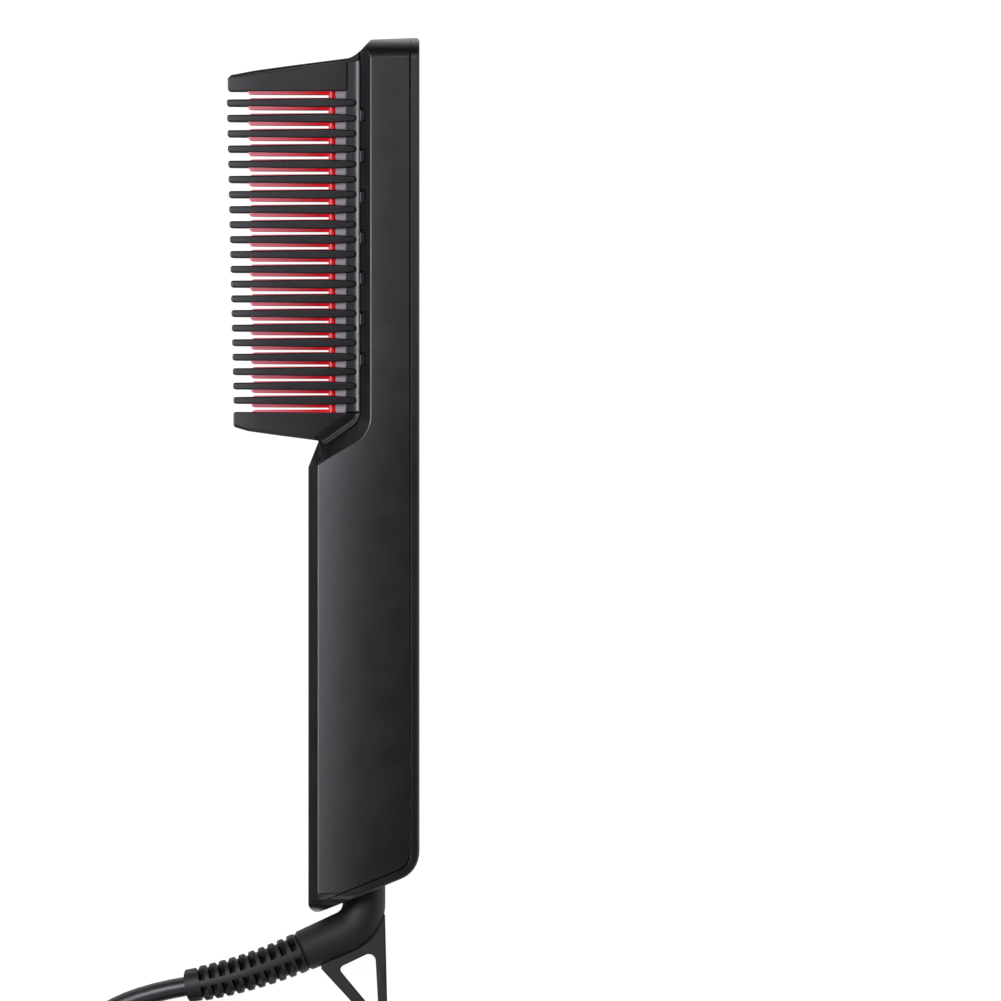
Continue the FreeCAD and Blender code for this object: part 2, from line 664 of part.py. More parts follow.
def on_board(long, wide, high, along, across=0.0):
    """Box standing on the board's back; along is from the lower end."""
    y = LOWER_END + along
    z = MID_Z + across
    return block((BOARD_BACK - high, BOARD_BACK), (y - long / 2, y + long / 2), (z - wide / 2, z + wide / 2))


def film_capacitor():
    return on_board(15.0, 8.0, 11.0, 82.0, 5.0)


def triac():
    body = on_board(10.0, 4.6, 8.5, 101.0, -6.0)
    tab = on_board(10.0, 1.3, 14.0, 101.0, -8.95)
    return fused([body, tab])


def fuse():
    y = LOWER_END + 82.0
    radius = 1.8
    return rod(radius, V(BOARD_BACK - radius, y - 5, MID_Z - 6.0),
               V(BOARD_BACK - radius, y + 5, MID_Z - 6.0))


def microcontroller():
    return on_board(8.7, 3.9, 1.6, 120.0, 3.0)


# ---- comb guard ----
def seat_line(offset):
    """Foot, knee and end of the guard's seat, moved off the housing by offset."""
    slope = math.atan2(KNEE[1] - FOOT[1], KNEE[0] - FOOT[0])
    lift = offset / math.cos(slope)
    x = SEAT_X - offset
    knee_y = KNEE[1] + lift - math.tan(slope) * offset
    foot = (FOOT[0] - offset * math.sin(slope), FOOT[1] + offset * math.cos(slope))
    return foot, (x, knee_y, KNEE_RADIUS - offset), (x, SEAT_END[1])


def tip_line_y(x):
    """Lower line of the far end tooth's sloping top, at x."""
    root_x = FLANK_TOP_X
    share = (root_x - x) / (root_x - RIB_TIP_X)
    return GAP_HIGH + TIP_TOOTH_ROOT - share * (TIP_TOOTH_ROOT - TIP_TOOTH_END)


def heel_points():
    """Lower edge of the near end tooth from its tip to the shoulder."""
    tip = RIB_TIP_X + RIB_LEAN
    return [(tip, GAP_LOW - HEEL_TOOTH_END), (tip + 4.6, GAP_LOW - HEEL_TOOTH_END - 1.4),
            (tip + 16.0, GAP_LOW - HEEL_TOOTH_MID), (BACK_X + SHOULDER_OUT, STEP_Y + SHOULDER_UP)]


def rib_outline(i):
    """Tooth of the guard: widest above its root, rounded at both ends."""
    y = rib_y(i)
    tip = RIB_TIP_X + RIB_LEAN * (1 - 2 * i / (RIB_COUNT - 1))
    root = SEAT_X - BAND
    wide_x = root - 9.0
    t, w, r = RIB_TIP_THICK / 2, RIB_THICK / 2, RIB_ROOT_THICK / 2
    return [(tip, y - t, 0.8), (wide_x - 13.0, y - w), (wide_x, y - w), (root, y - r, 0.7),
            (root, y + r, 0.7), (wide_x, y + w), (wide_x - 13.0, y + w), (tip, y + t, 0.8)]


def guard_side(sign):
    """One side comb: wall, slanted foot strip, ribs, end teeth and snap tabs."""
    def prism(corners, inner, outer):
        low, high = sorted((MID_Z + sign * inner, MID_Z + sign * outer))
        return side_prism(corners, low, high)

    foot, knee, end = seat_line(0.0)
    foot_out, knee_out, end_out = seat_line(BAND)
    strip_low = [foot, knee, end, end_out, knee_out, foot_out]
    thin = seat_line(0.2)
    strip_high = [foot, knee, end, thin[2], thin[1], thin[0]]
    wires = [side_wire(strip_low, MID_Z + sign * FLANK_HALF),
             side_wire(strip_high, MID_Z + sign * (GUARD_HALF + 0.1))]
    strip = lofted(wires)
    base = prism(strip_low, FLANK_IN, FLANK_HALF)
    flank = prism([(SEAT_X - BAND, GAP_LOW - 1.0), (SEAT_X - BAND, tip_line_y(SEAT_X)),
                   (FLANK_TOP_X, tip_line_y(FLANK_TOP_X)), (FLANK_TOP_X, GAP_LOW - 1.0)],
                  FLANK_IN, FLANK_HALF)
    rib_in = GUARD_HALF - RIB_WIDTH
    ribs = [prism(rib_outline(i), rib_in, GUARD_HALF) for i in range(RIB_COUNT)]
    tip = RIB_TIP_X - RIB_LEAN
    far_tooth = prism([(tip + 0.4, GAP_HIGH, 0.8), (FLANK_TOP_X + 0.3, GAP_HIGH, 1.6),
                       (FLANK_TOP_X + 0.3, tip_line_y(FLANK_TOP_X)), (tip + 0.4, tip_line_y(tip), 0.8)],
                       rib_in - 0.4, GUARD_HALF)
    heel = heel_points()
    near_tooth = prism([(heel[0][0], GAP_LOW, 0.8), (SEAT_X - BAND - 1.0, GAP_LOW, 1.2),
                        (knee_out[0] - 2.2, knee_out[1] - 1.4),
                        (foot_out[0], foot_out[1]), (heel[3][0] + 0.6, heel[3][1] + CAP_LIP),
                        (heel[2][0], heel[2][1] + CAP_LIP), (heel[1][0], heel[1][1] + CAP_LIP),
                        (heel[0][0], heel[0][1] + CAP_LIP, 1.0)],
                       rib_in - 0.4, GUARD_HALF)
    corner_fill = prism([(SEAT_X - BAND, GAP_LOW + 0.5), (FLANK_TOP_X, GAP_LOW + 0.5),
                         (foot_out[0], foot_out[1] + 0.6), (foot_out[0], foot_out[1]),
                         (knee_out[0], knee_out[1], knee_out[2])], FLANK_IN, FLANK_HALF)
    tabs = []
    for y in tab_places():
        corners = [(SEAT_X - 0.2, y - TAB_LONG / 2), (SEAT_X + TAB_OUT, y - TAB_LONG / 2),
                   (SEAT_X + TAB_OUT, y + TAB_LONG / 2), (SEAT_X - 0.2, y + TAB_LONG / 2)]
        tabs.append(prism(corners, FLANK_HALF - 0.6, GUARD_HALF))
    return fused([base, strip, flank, corner_fill, far_tooth, near_tooth, *ribs, *tabs])


def end_cap(pieces, sides):
    """Fused cap without what the side combs and its screws take up."""
    cap = fused(pieces).cut(Part.makeCompound(sides))
    return cap.cut(head_screw_holes(SCREW_GAP / 2, 0.3))


def guard_end_tip(sides):
    """End cap over the far tooth: a wall between the side combs with a lip over their edges."""
    tip = RIB_TIP_X - RIB_LEAN
    inner = GUARD_HALF - RIB_WIDTH - 0.4 - FIT / 2
    carrier = heater_span()[1] + CARRIER_WALL + FIT
    slope_end = (FLANK_TOP_X, tip_line_y(FLANK_TOP_X))
    lip = side_prism([(tip + 0.6, tip_line_y(tip)), slope_end, (SEAT_X, SEAT_END[1] - 2.4),
                      (SEAT_X, SEAT_END[1]), (SEAT_X - 1.7, SEAT_END[1] - 1.3),
                      (FLANK_TOP_X + 1.0, slope_end[1] + CAP_LIP + 0.2, 3.0),
                      (tip + 0.8, tip_line_y(tip) + CAP_LIP, 0.3)],
                     MID_Z - GUARD_HALF + 0.3, MID_Z + GUARD_HALF - 0.3)
    wall = side_prism([(tip + 0.8, tip_line_y(tip) - END_WALL, 0.6),
                       (CARRIER_TOP_X - 1.0, tip_line_y(CARRIER_TOP_X) - END_WALL),
                       (CARRIER_TOP_X + 0.5, carrier), (SEAT_X, carrier), (SEAT_X, SEAT_END[1] - 2.0),
                       slope_end,
                       (tip + 0.8, tip_line_y(tip) + 0.2)], MID_Z - inner, MID_Z + inner)
    return end_cap([lip, wall], sides)


def guard_end_root(sides):
    """End cap under the near tooth, seated on the shoulder."""
    heel = heel_points()
    foot, knee, _ = seat_line(0.0)
    slope = math.atan2(knee[1] - foot[1], knee[0] - foot[0])
    inner = GUARD_HALF - RIB_WIDTH - 0.4 - FIT / 2
    carrier = heater_span()[0] - CARRIER_WALL - FIT
    seat_at_heel = (heel[3][0] + 0.05, heel[3][1])
    lip = side_prism([heel[0] + (0.3,), heel[1], heel[2], seat_at_heel,
                      (heel[3][0] + 0.6, heel[3][1] + CAP_LIP),
                      (heel[2][0], heel[2][1] + CAP_LIP), (heel[1][0], heel[1][1] + CAP_LIP),
                      (heel[0][0], heel[0][1] + CAP_LIP)],
                     MID_Z - GUARD_HALF, MID_Z + GUARD_HALF)
    wall = side_prism([(heel[0][0] + 0.2, heel[0][1] + 0.4), (heel[1][0], heel[1][1] + CAP_LIP / 2),
                       (heel[2][0], heel[2][1] + CAP_LIP / 2),
                       seat_at_heel, foot, (foot[0] + (carrier - foot[1]) / math.tan(slope), carrier),
                       (CARRIER_TOP_X - 2.5, carrier),
                       (heel[2][0], heel[2][1] + CAP_LIP + END_WALL),
                       (heel[1][0], heel[1][1] + CAP_LIP + END_WALL),
                       (heel[0][0] + 0.2, heel[0][1] + CAP_LIP + END_WALL)], MID_Z - inner, MID_Z + inner)
    return end_cap([lip, wall], sides)


# ---- heated comb ----
def fin_outline(i):
    y = rib_y(i - 1) + FIN_SHIFT
    lean = RIB_LEAN * 0.65 * (1 - 2 * i / (FIN_COUNT - 1))
    tip = FIN_TIP_X + lean
    t, w = FIN_TIP_THICK / 2, FIN_THICK / 2
    root = FIN_ROOT_X + 0.2
    return [(tip, y - t, 1.1), (root, y - w), (root, y + w), (tip, y + t, 1.4)]


def heater_span():
    return rib_y(-1) + FIN_SHIFT - FIN_THICK / 2, rib_y(RIB_COUNT) + FIN_SHIFT + FIN_THICK / 2


def heater_comb():
    low, high = heater_span()
    teeth = [side_prism(fin_outline(i), MID_Z - FIN_HALF, MID_Z + FIN_HALF) for i in range(FIN_COUNT)]
    ridge = block((FIN_ROOT_X, FIN_ROOT_X + RIDGE_DEEP), (low, high),
                  (MID_Z - RIDGE_HALF, MID_Z + RIDGE_HALF))
    ridge_edges = [e for e in ridge.Edges if abs(e.BoundBox.XMin - FIN_ROOT_X) < 1e-6
                   and e.BoundBox.XLength < 1e-6 and e.BoundBox.YLength > 50]
    ridge = ridge.makeFillet(0.7, ridge_edges)
    base = block((FIN_ROOT_X + 0.5, BLOCK_BACK_X), (low, high), (MID_Z - BLOCK_HALF, MID_Z + BLOCK_HALF))
    comb = fused([ridge, base, *teeth])
    holes = [rod(SCREW_RADIUS + SCREW_GAP / 2, V(BLOCK_BACK_X - 2.6, y, MID_Z),
                 V(BLOCK_BACK_X + 1, y, MID_Z)) for y in clamp_screw_y()]
    holes.append(rod(SENSOR_RADIUS + SCREW_GAP, V(BLOCK_BACK_X - SENSOR_DEEP, sensor_y(), MID_Z + BOSS_SIDE),
                     V(BLOCK_BACK_X + 1, sensor_y(), MID_Z + BOSS_SIDE)))
    return comb.cut(Part.makeCompound(holes)).cut(head_screw_holes(SCREW_GAP / 2, 0.3))


def heater_carrier():
    """Tray that keeps the heater off the housing; its rim shows between the ribs."""
    low, high = heater_span()
    outer = block((CARRIER_TOP_X, SEAT_X), (low - CARRIER_WALL, high + CARRIER_WALL),
                  (MID_Z - CARRIER_HALF, MID_Z + CARRIER_HALF))
    inner = block((CARRIER_TOP_X - 1, SEAT_X - CARRIER_WALL), (low - FIT, high + FIT),
                  (MID_Z - CARRIER_HALF + CARRIER_WALL, MID_Z + CARRIER_HALF - CARRIER_WALL))
    tray = outer.cut(inner)
    knee_clear = housing_seat_block()
    y = clamp_screw_y()[1]
    bosses = [rod(BOSS_RADIUS, V(SEAT_X - CARRIER_WALL / 2, y, z), V(BLOCK_BACK_X, y, z))
              for z in (MID_Z - BOSS_SIDE, MID_Z + BOSS_SIDE)]
    tray = fused([tray.cut(knee_clear), *bosses])
    return tray.cut(lead_hole()).cut(head_screw_holes(SCREW_GAP, 0.3))


def housing_seat_block():
    """Everything on the housing's side of the seat, with the seating clearance."""
    foot, knee, end = seat_line(0.0)
    return side_prism([(foot[0] - 20, foot[1] - 14.04), foot[:2], knee, (end[0], end[1] + 5),
                       (end[0] + 20, end[1] + 5), (end[0] + 20, foot[1] - 14.04)],
                      -1.0, BODY_WIDTH + 1.0)


def element_spans():
    """(low, high) along Y of each heating element, spread evenly along the block."""
    low, high = heater_span()
    gap = (high - low - ELEMENT_COUNT * ELEMENT_LONG) / (ELEMENT_COUNT + 1)
    return [(low + gap + i * (ELEMENT_LONG + gap), low + gap + i * (ELEMENT_LONG + gap) + ELEMENT_LONG)
            for i in range(ELEMENT_COUNT)]


def clamp_screw_y():
    low, high = heater_span()
    gap = (high - low - ELEMENT_COUNT * ELEMENT_LONG) / (ELEMENT_COUNT + 1)
    return [low + gap / 2 + i * (ELEMENT_LONG + gap) for i in range(ELEMENT_COUNT + 1)]


def sensor_y():
    return element_spans()[0][1] - 8.0


def heating_elements():
    x = (BLOCK_BACK_X, BLOCK_BACK_X + ELEMENT_THICK)
    return Part.makeCompound([block(x, span, (MID_Z - ELEMENT_HALF, MID_Z + ELEMENT_HALF))
                              for span in element_spans()])


def heater_clamp():
    """Sheet clamp over the elements, with feet on the block at its screws."""
    low, high = heater_span()
    x = BLOCK_BACK_X + ELEMENT_THICK
    plate = block((x, x + CLAMP_THICK), (low + 1.0, high - 1.0),
                  (MID_Z - ELEMENT_HALF, MID_Z + ELEMENT_HALF))
    feet = [rod(2.2, V(BLOCK_BACK_X, y, MID_Z), V(x + 0.2, y, MID_Z)) for y in clamp_screw_y()]
    holes = [rod(SCREW_RADIUS + SCREW_GAP, V(BLOCK_BACK_X - 1, y, MID_Z), V(x + 3, y, MID_Z))
             for y in clamp_screw_y()]
    return fused([plate, *feet]).cut(Part.makeCompound(holes))


def clamp_screws():
    screws = []
    x = BLOCK_BACK_X + ELEMENT_THICK + CLAMP_THICK
    for y in clamp_screw_y():
        shank = rod(SCREW_RADIUS, V(BLOCK_BACK_X - 2.4, y, MID_Z), V(x + 0.2, y, MID_Z))
        head = rod(SCREW_HEAD_RADIUS, V(x, y, MID_Z), V(x + 0.7, y, MID_Z))
        screws.append(fused([shank, head]))
    return Part.makeCompound(screws)


def thermal_cutout():
    """Cut-out lying along the back of the block, beside the clamp."""
    x = BLOCK_BACK_X + CUTOUT_RADIUS
    y = sensor_y() + CUTOUT_AHEAD
    z = MID_Z + ELEMENT_HALF + SENSOR_GAP + CUTOUT_RADIUS
    return rod(CUTOUT_RADIUS, V(x, y - CUTOUT_LONG / 2, z), V(x, y + CUTOUT_LONG / 2, z))


def temperature_sensor():
    y = sensor_y()
    return rod(SENSOR_RADIUS, V(BLOCK_BACK_X - SENSOR_DEEP, y, MID_Z + BOSS_SIDE),
               V(BLOCK_BACK_X + 1.6, y, MID_Z + BOSS_SIDE))


def head_screws():
    screws = []
    for at, out, bite in head_screws_at():
        shank = rod(SCREW_RADIUS, at - out * (WALL + 0.2), at + out * bite)
        head = rod(SCREW_HEAD_RADIUS, at - out * (WALL + SCREW_HEAD), at - out * WALL)
        screws.append(fused([shank, head]))
    return Part.makeCompound(screws)


# ---- swivel ----
def retainer_y():
    return LOWER_END + RETAINER_LIFT, LOWER_END + RETAINER_LIFT + RETAINER_THICK


def swivel_retainer():
    low, high = retainer_y()
    half = BODY_WIDTH / 2 - WALL - FIT
    plate = block((BACK_X + WALL + FIT, RETAINER_FRONT), (low, high), (MID_Z - half, MID_Z + half))
    return plate.cut(rod(JOURNAL_RADIUS + JOURNAL_GAP, V(0, low - 1, MID_Z), V(0, high + 1, MID_Z)))


def clip_y():
    low = retainer_y()[1] + FIT
    return low, low + CLIP_THICK


def swivel_clip():
    low, high = clip_y()
    ring = rod(CLIP_RADIUS, V(0, low, MID_Z), V(0, high, MID_Z))
    return ring.cut(rod(CLIP_SHAFT, V(0, low - 1, MID_Z), V(0, high + 1, MID_Z)))


def elbow_points():
    """Axis of the elbow: corner and outgoing direction."""
    fall = math.radians(ELBOW_DEG)
    corner = V(0, LOWER_END - ELBOW_DROP, MID_Z)
    out = V(-math.cos(fall), -math.sin(fall), 0)
    return corner, out


def swivel_elbow():
    """Neck, bend, arm and the flat hanging loop, moulded in one piece."""
    corner, out = elbow_points()
    up = V(0, 1, 0)
    turn = math.pi / 2 - math.radians(ELBOW_DEG)
    cut = ELBOW_BEND * math.tan(turn / 2)
    start, end = corner + up * cut, corner + out * cut
    middle = corner + (up + out).normalize() * (ELBOW_BEND / math.cos(turn / 2) - ELBOW_BEND)
    bend = Part.Wire([Part.Arc(start, middle, end).toShape()])
    section = Part.Wire(Part.makeCircle(NECK_RADIUS, start, -up))
    pipe = bend.makePipeShell([section], True, False)
    low = retainer_y()[0] - FIT
    neck = rod(NECK_RADIUS, start, V(0, low, MID_Z))
    journal = rod(JOURNAL_RADIUS, V(0, low - 0.5, MID_Z), V(0, clip_y()[0], MID_Z))
    groove = rod(CLIP_SHAFT - JOURNAL_GAP, V(0, clip_y()[0] - 0.5, MID_Z), V(0, clip_y()[1], MID_Z))
    arm = Part.makeCone(NECK_RADIUS, ARM_RADIUS, ELBOW_ARM - cut, end, out)
    web = hang_loop()
    whole = fused([pipe, neck, journal, groove, arm, web])
    return whole.cut(loop_opening())


def loop_corners():
    """Inner corners of the hanging loop."""
    return [(x, LOWER_END + y) for x, y in (LOOP_LEFT, LOOP_RIGHT, LOOP_LOW)]


def hang_loop():
    left, _, low = loop_corners()
    edge = NECK_RADIUS - 0.1
    web = [(edge, LOWER_END - 0.5), (edge + 1.0, low[1] - LOOP_TIP_BELOW, LOOP_TIP_RADIUS),
           (left[0] - LOOP_LEG, left[1] - 0.2, 0.8), (left[0] - LOOP_LEG + 1.1, left[1] + NECK_RADIUS + 0.9),
           (0.0, LOWER_END - ELBOW_DROP - 2.0)]
    return side_prism(web, MID_Z - LOOP_THICK / 2, MID_Z + LOOP_THICK / 2)


def loop_opening():
    left, right, low = loop_corners()
    corners = [(*corner, radius) for corner, radius in zip((left, right, low), LOOP_RADII)]
    return side_prism(corners, MID_Z - BODY_WIDTH, MID_Z + BODY_WIDTH)


def slip_ring_core():
    low = clip_y()[1]
    core = rod(CORE_RADIUS, V(0, low, MID_Z), V(0, low + CORE_LENGTH, MID_Z))
    return core


def slip_ring_y():
    low = clip_y()[1] + SLIP_FIRST
    return [low, low + SLIP_PITCH]


def slip_rings():
    rings = []
    for y in slip_ring_y():
        ring = rod(SLIP_RADIUS, V(0, y, MID_Z), V(0, y + SLIP_WIDE, MID_Z))
        rings.append(ring.cut(rod(CORE_RADIUS, V(0, y - 1, MID_Z), V(0, y + SLIP_WIDE + 1, MID_Z))))
    return Part.makeCompound(rings)


def contact_holder():
    low, high = slip_ring_y()[0] - HOLDER_OVER, slip_ring_y()[1] + SLIP_WIDE + HOLDER_OVER
    half = HOLDER_WIDE / 2
    return block((BACK_X + WALL, holder_face()), (low, high), (MID_Z - half, MID_Z + half))


def holder_face():
    return -SLIP_RADIUS - HOLDER_BACK_GAP


def contact_springs():
    """Leaf contacts from the holder to the slip rings."""
    leaves = []
    for y in slip_ring_y():
        middle = y + SLIP_WIDE / 2
        leaves.append(block((holder_face(), -SLIP_RADIUS - FIT),
                            (middle - LEAF_THICK / 2, middle + LEAF_THICK / 2),
                            (MID_Z - LEAF_WIDE / 2, MID_Z + LEAF_WIDE / 2)))
    return Part.makeCompound(leaves)


def supply_leads():
    """Two wires from the contact holder to the board."""
    start_y = slip_ring_y()[1] + SLIP_WIDE + HOLDER_OVER
    end_y = LOWER_END + BOARD_LOW + SUPPLY_LEAD_LAND
    start_x = (BACK_X + WALL + holder_face()) / 2
    wires = []
    for side in (SUPPLY_LEAD_SIDE, -SUPPLY_LEAD_SIDE):
        z = MID_Z + side
        points = [V(start_x, start_y, z), V(start_x, start_y + 9.0, z),
                  V((start_x + BOARD_BACK) / 2, (start_y + end_y) / 2 + 1, z),
                  V(BOARD_BACK - 6.0, end_y, z), V(BOARD_BACK, end_y, z)]
        wires.append(routed_tube(points, SUPPLY_LEAD_RADIUS))
    return Part.makeCompound(wires)


def heater_leads():
    """Two wires from the board through the seat wall to the heater."""
    start_y = LOWER_END + BOARD_LOW + BOARD_LONG - HEATER_LEAD_LAND - 9.0
    end_y = GAP_LOW + HEATER_LEAD_LAND
    wires = []
    for side in (HEATER_LEAD_SIDE, -HEATER_LEAD_SIDE):
        z = MID_Z + side
        points = [V(BOARD_BACK, start_y, z), V(BOARD_BACK - 4.0, start_y, z), V(BOARD_BACK - 4.0, end_y, z),
                  V(SEAT_X - CARRIER_WALL - 0.3, end_y, z)]
        wires.append(routed_tube(points, HEATER_LEAD_RADIUS))
    return Part.makeCompound(wires)


# ---- lead outside ----
def relief_axis(t):
    """Point and direction on the strain relief's axis, a curve of the second degree."""
    corner, out = elbow_points()
    start = corner + out * ELBOW_ARM
    middle = start + out * RELIEF_LENGTH
    fall, dive = math.radians(RELIEF_END_DEG), math.radians(RELIEF_DIVE_DEG)
    end = middle + V(-math.cos(fall) * math.cos(dive), -math.sin(fall) * math.cos(dive),
                     -math.sin(dive)) * RELIEF_LENGTH
    at = start * (1 - t) ** 2 + middle * (2 * t * (1 - t)) + end * t ** 2
    return at, ((middle - start) * (1 - t) + (end - middle) * t).normalize()


def relief_radius(t):
    return RELIEF_START_RADIUS + (RELIEF_END_RADIUS - RELIEF_START_RADIUS) * t


def strain_relief():
    """Ringed relief: a stepped core, rings, and two spines that leave windows between the rings."""
    rings = [(RELIEF_FIRST + i * RELIEF_PITCH) / (2 * RELIEF_LENGTH) for i in range(RELIEF_RINGS)]
    stations = [0.0, *rings, 1.0]
    pieces = []
    for t0, t1 in zip(stations, stations[1:]):
        start, end = relief_axis(t0)[0], relief_axis(t1)[0]
        along = (end - start).normalize()
        middle = (t0 + t1) / 2
        pieces.append(rod(RELIEF_CORE_START + (RELIEF_CORE_END - RELIEF_CORE_START) * middle, start, end))
        side = (V(0, 0, 1) - along * along.z).normalize()
        across = side.cross(along).normalize() * (RELIEF_SPINE / 2)
        for sign in (1, -1):
            inner = start + side * (sign * 3.0)
            outer = start + side * (sign * (relief_radius(middle) - 0.25))
            web = Part.makePolygon([inner - across, inner + across, outer + across, outer - across,
                                    inner - across])
            pieces.append(Part.Face(web).extrude(end - start))
    for t in rings:
        at, along = relief_axis(t)
        pieces.append(rod(relief_radius(t), at - along * (RELIEF_RING / 2), at + along * (RELIEF_RING / 2)))
    end, along = relief_axis(1.0)
    pieces.append(rod(RELIEF_END_RADIUS, end - along * RELIEF_COLLAR, end))
    return fused(pieces).cut(Part.makeCompound([swivel_elbow(), cord_lead()]))


def lead_points():
    """Route of the lead from the strain relief down to the coil."""
    start, along = relief_axis(1.0)
    floor = CORD_RADIUS + FLOOR_GAP
    outer = COIL_MEAN + (COIL_COLUMNS - 1) * CORD_RADIUS
    coil = V(COIL_X, LOWER_END - COIL_BELOW, floor)
    return [start, start + along * 16.0, V(-91.0, LOWER_END - 36.0, floor + 0.5),
            V(-103.5, LOWER_END - 51.5, floor),
            V(COIL_X - outer + 0.2, LOWER_END - 69.0, floor), coil + V(-outer, 0, 0)]


def cord_lead():
    return routed_tube(lead_points(), CORD_RADIUS)


def coil_sizes():
    width = COIL_COLUMNS * CORD_RADIUS
    return COIL_MEAN - width, COIL_MEAN + width, COIL_LAYERS * 2 * CORD_RADIUS + 2 * FLOOR_GAP


def cord_coil():
    """Outer shape of the coil, with a shallow groove where the tie goes round it."""
    inner, outer, high = coil_sizes()
    y = LOWER_END - COIL_BELOW
    ring = rod(outer, V(COIL_X, y, 0),
               V(COIL_X, y, high)).cut(rod(inner, V(COIL_X, y, -1), V(COIL_X, y, high + 1)))
    return ring.cut(tie_block(FIT / 2)).cut(Part.makeCompound([cord_lead(), cord_tail()]))


def tie_block(grow):
    """Solid or hollow box round the coil's ring at the tie."""
    inner, outer, high = coil_sizes()
    half = TIE_WIDE / 2 + grow
    whole = block((inner - 1.0, outer + 1.0), (-half, half), (-1.0, high + 1.0))
    t = TIE_THICK + grow
    core = block((inner + t, outer - t), (-half - 1, half + 1), (t, high - t))
    shape = whole.cut(core)
    shape.rotate(V(0, 0, 0), V(0, 0, 1), TIE_DEG)
    shape.translate(V(COIL_X, LOWER_END - COIL_BELOW, 0))
    return shape


def cord_tie():
    """Band tie round the coil's section."""
    inner, outer, high = coil_sizes()
    half = TIE_WIDE / 2
    whole = block((inner + 0.1, outer - 0.5), (-half, half), (0.02, high - 0.02))
    t = TIE_THICK
    core = block((inner + t, outer - t), (-half - 1, half + 1), (t, high - t))
    band = whole.cut(core)
    band.rotate(V(0, 0, 0), V(0, 0, 1), TIE_DEG)
    band.translate(V(COIL_X, LOWER_END - COIL_BELOW, 0))
    return band


def tail_points():
    """Route of the lead from the coil's upper layer to the plug."""
    axis = PLUG_HIGH / 2
    top = 3 * CORD_RADIUS + FLOOR_GAP
    outer = COIL_MEAN + (COIL_COLUMNS - 1) * CORD_RADIUS
    side = COIL_X - outer
    y = LOWER_END - COIL_BELOW
    drop = y - PLUG_TAIL_Y
    return [V(side, y - 2.0, top), V(side + 0.6, y - 0.3 * drop, top - 0.4),
            V(side + 0.25 * outer, y - 0.7 * drop, top - 1.6),
            V(side + 0.62 * outer, y - 0.93 * drop, axis + 0.4),
            V(PLUG_X - 6.0, PLUG_TAIL_Y, axis), V(PLUG_X, PLUG_TAIL_Y, axis)]


def cord_tail():
    return routed_tube(tail_points(), CORD_RADIUS)


def plug_body():
    """Flat two-pin plug with a tapered tail that grips the cord."""
    axis = PLUG_HIGH / 2
    y = PLUG_TAIL_Y
    x0, x1, x2 = PLUG_X, PLUG_X + PLUG_NECK, PLUG_X + PLUG_NECK + PLUG_LONG

    def section(x, wide, high, corner):
        corners = [(V(x, y + sy * wide / 2, axis + sz * high / 2), corner)
                   for sy, sz in ((-1, -1), (1, -1), (1, 1), (-1, 1))]
        return Part.Wire(corner_edges(corners))

    tail = Part.makeLoft([Part.Wire(Part.makeCircle(4.3, V(x0, y, axis), V(1, 0, 0))),
                          Part.Wire(Part.makeCircle(5.4, V(x1, y, axis), V(1, 0, 0)))], True, True)
    grip = Part.makeLoft([section(x1 - 1.0, 13.0, 10.4, 3.0), section(x1 + 12.0, 23.0, PLUG_HIGH, 3.0),
                          section(x1 + 22.0, PLUG_WIDE, PLUG_HIGH, 3.0),
                          section(x2, PLUG_WIDE, PLUG_HIGH, 3.0)], True, True)
    rings = [rod(5.6, V(x, y, axis), V(x + 1.8, y, axis)) for x in (x0 + 1.0, x0 + 4.6, x0 + 8.2, x0 + 11.8)]
    body = fused([tail, grip, *rings])
    for pin_y in pin_ys():
        body = body.cut(rod(PIN_ROOT_RADIUS, V(x2 - PIN_ROOT, pin_y, axis), V(x2 + 1, pin_y, axis)))
    return body


def pin_ys():
    return [PLUG_TAIL_Y + PIN_SPACING / 2, PLUG_TAIL_Y - PIN_SPACING / 2]


def plug_pins():
    axis = PLUG_HIGH / 2
    x = PLUG_X + PLUG_NECK + PLUG_LONG
    pins = []
    for y in pin_ys():
        root = rod(PIN_ROOT_RADIUS, V(x - PIN_ROOT, y, axis), V(x + 0.5, y, axis))
        shaft = rod(PIN_RADIUS, V(x, y, axis), V(x + PIN_LENGTH - 0.8, y, axis))
        nose = Part.makeCone(PIN_RADIUS, PIN_RADIUS - 0.8, 0.8, V(x + PIN_LENGTH - 0.8, y, axis), V(1, 0, 0))
        pins.append(fused([root, shaft, nose]))
    return Part.makeCompound(pins)


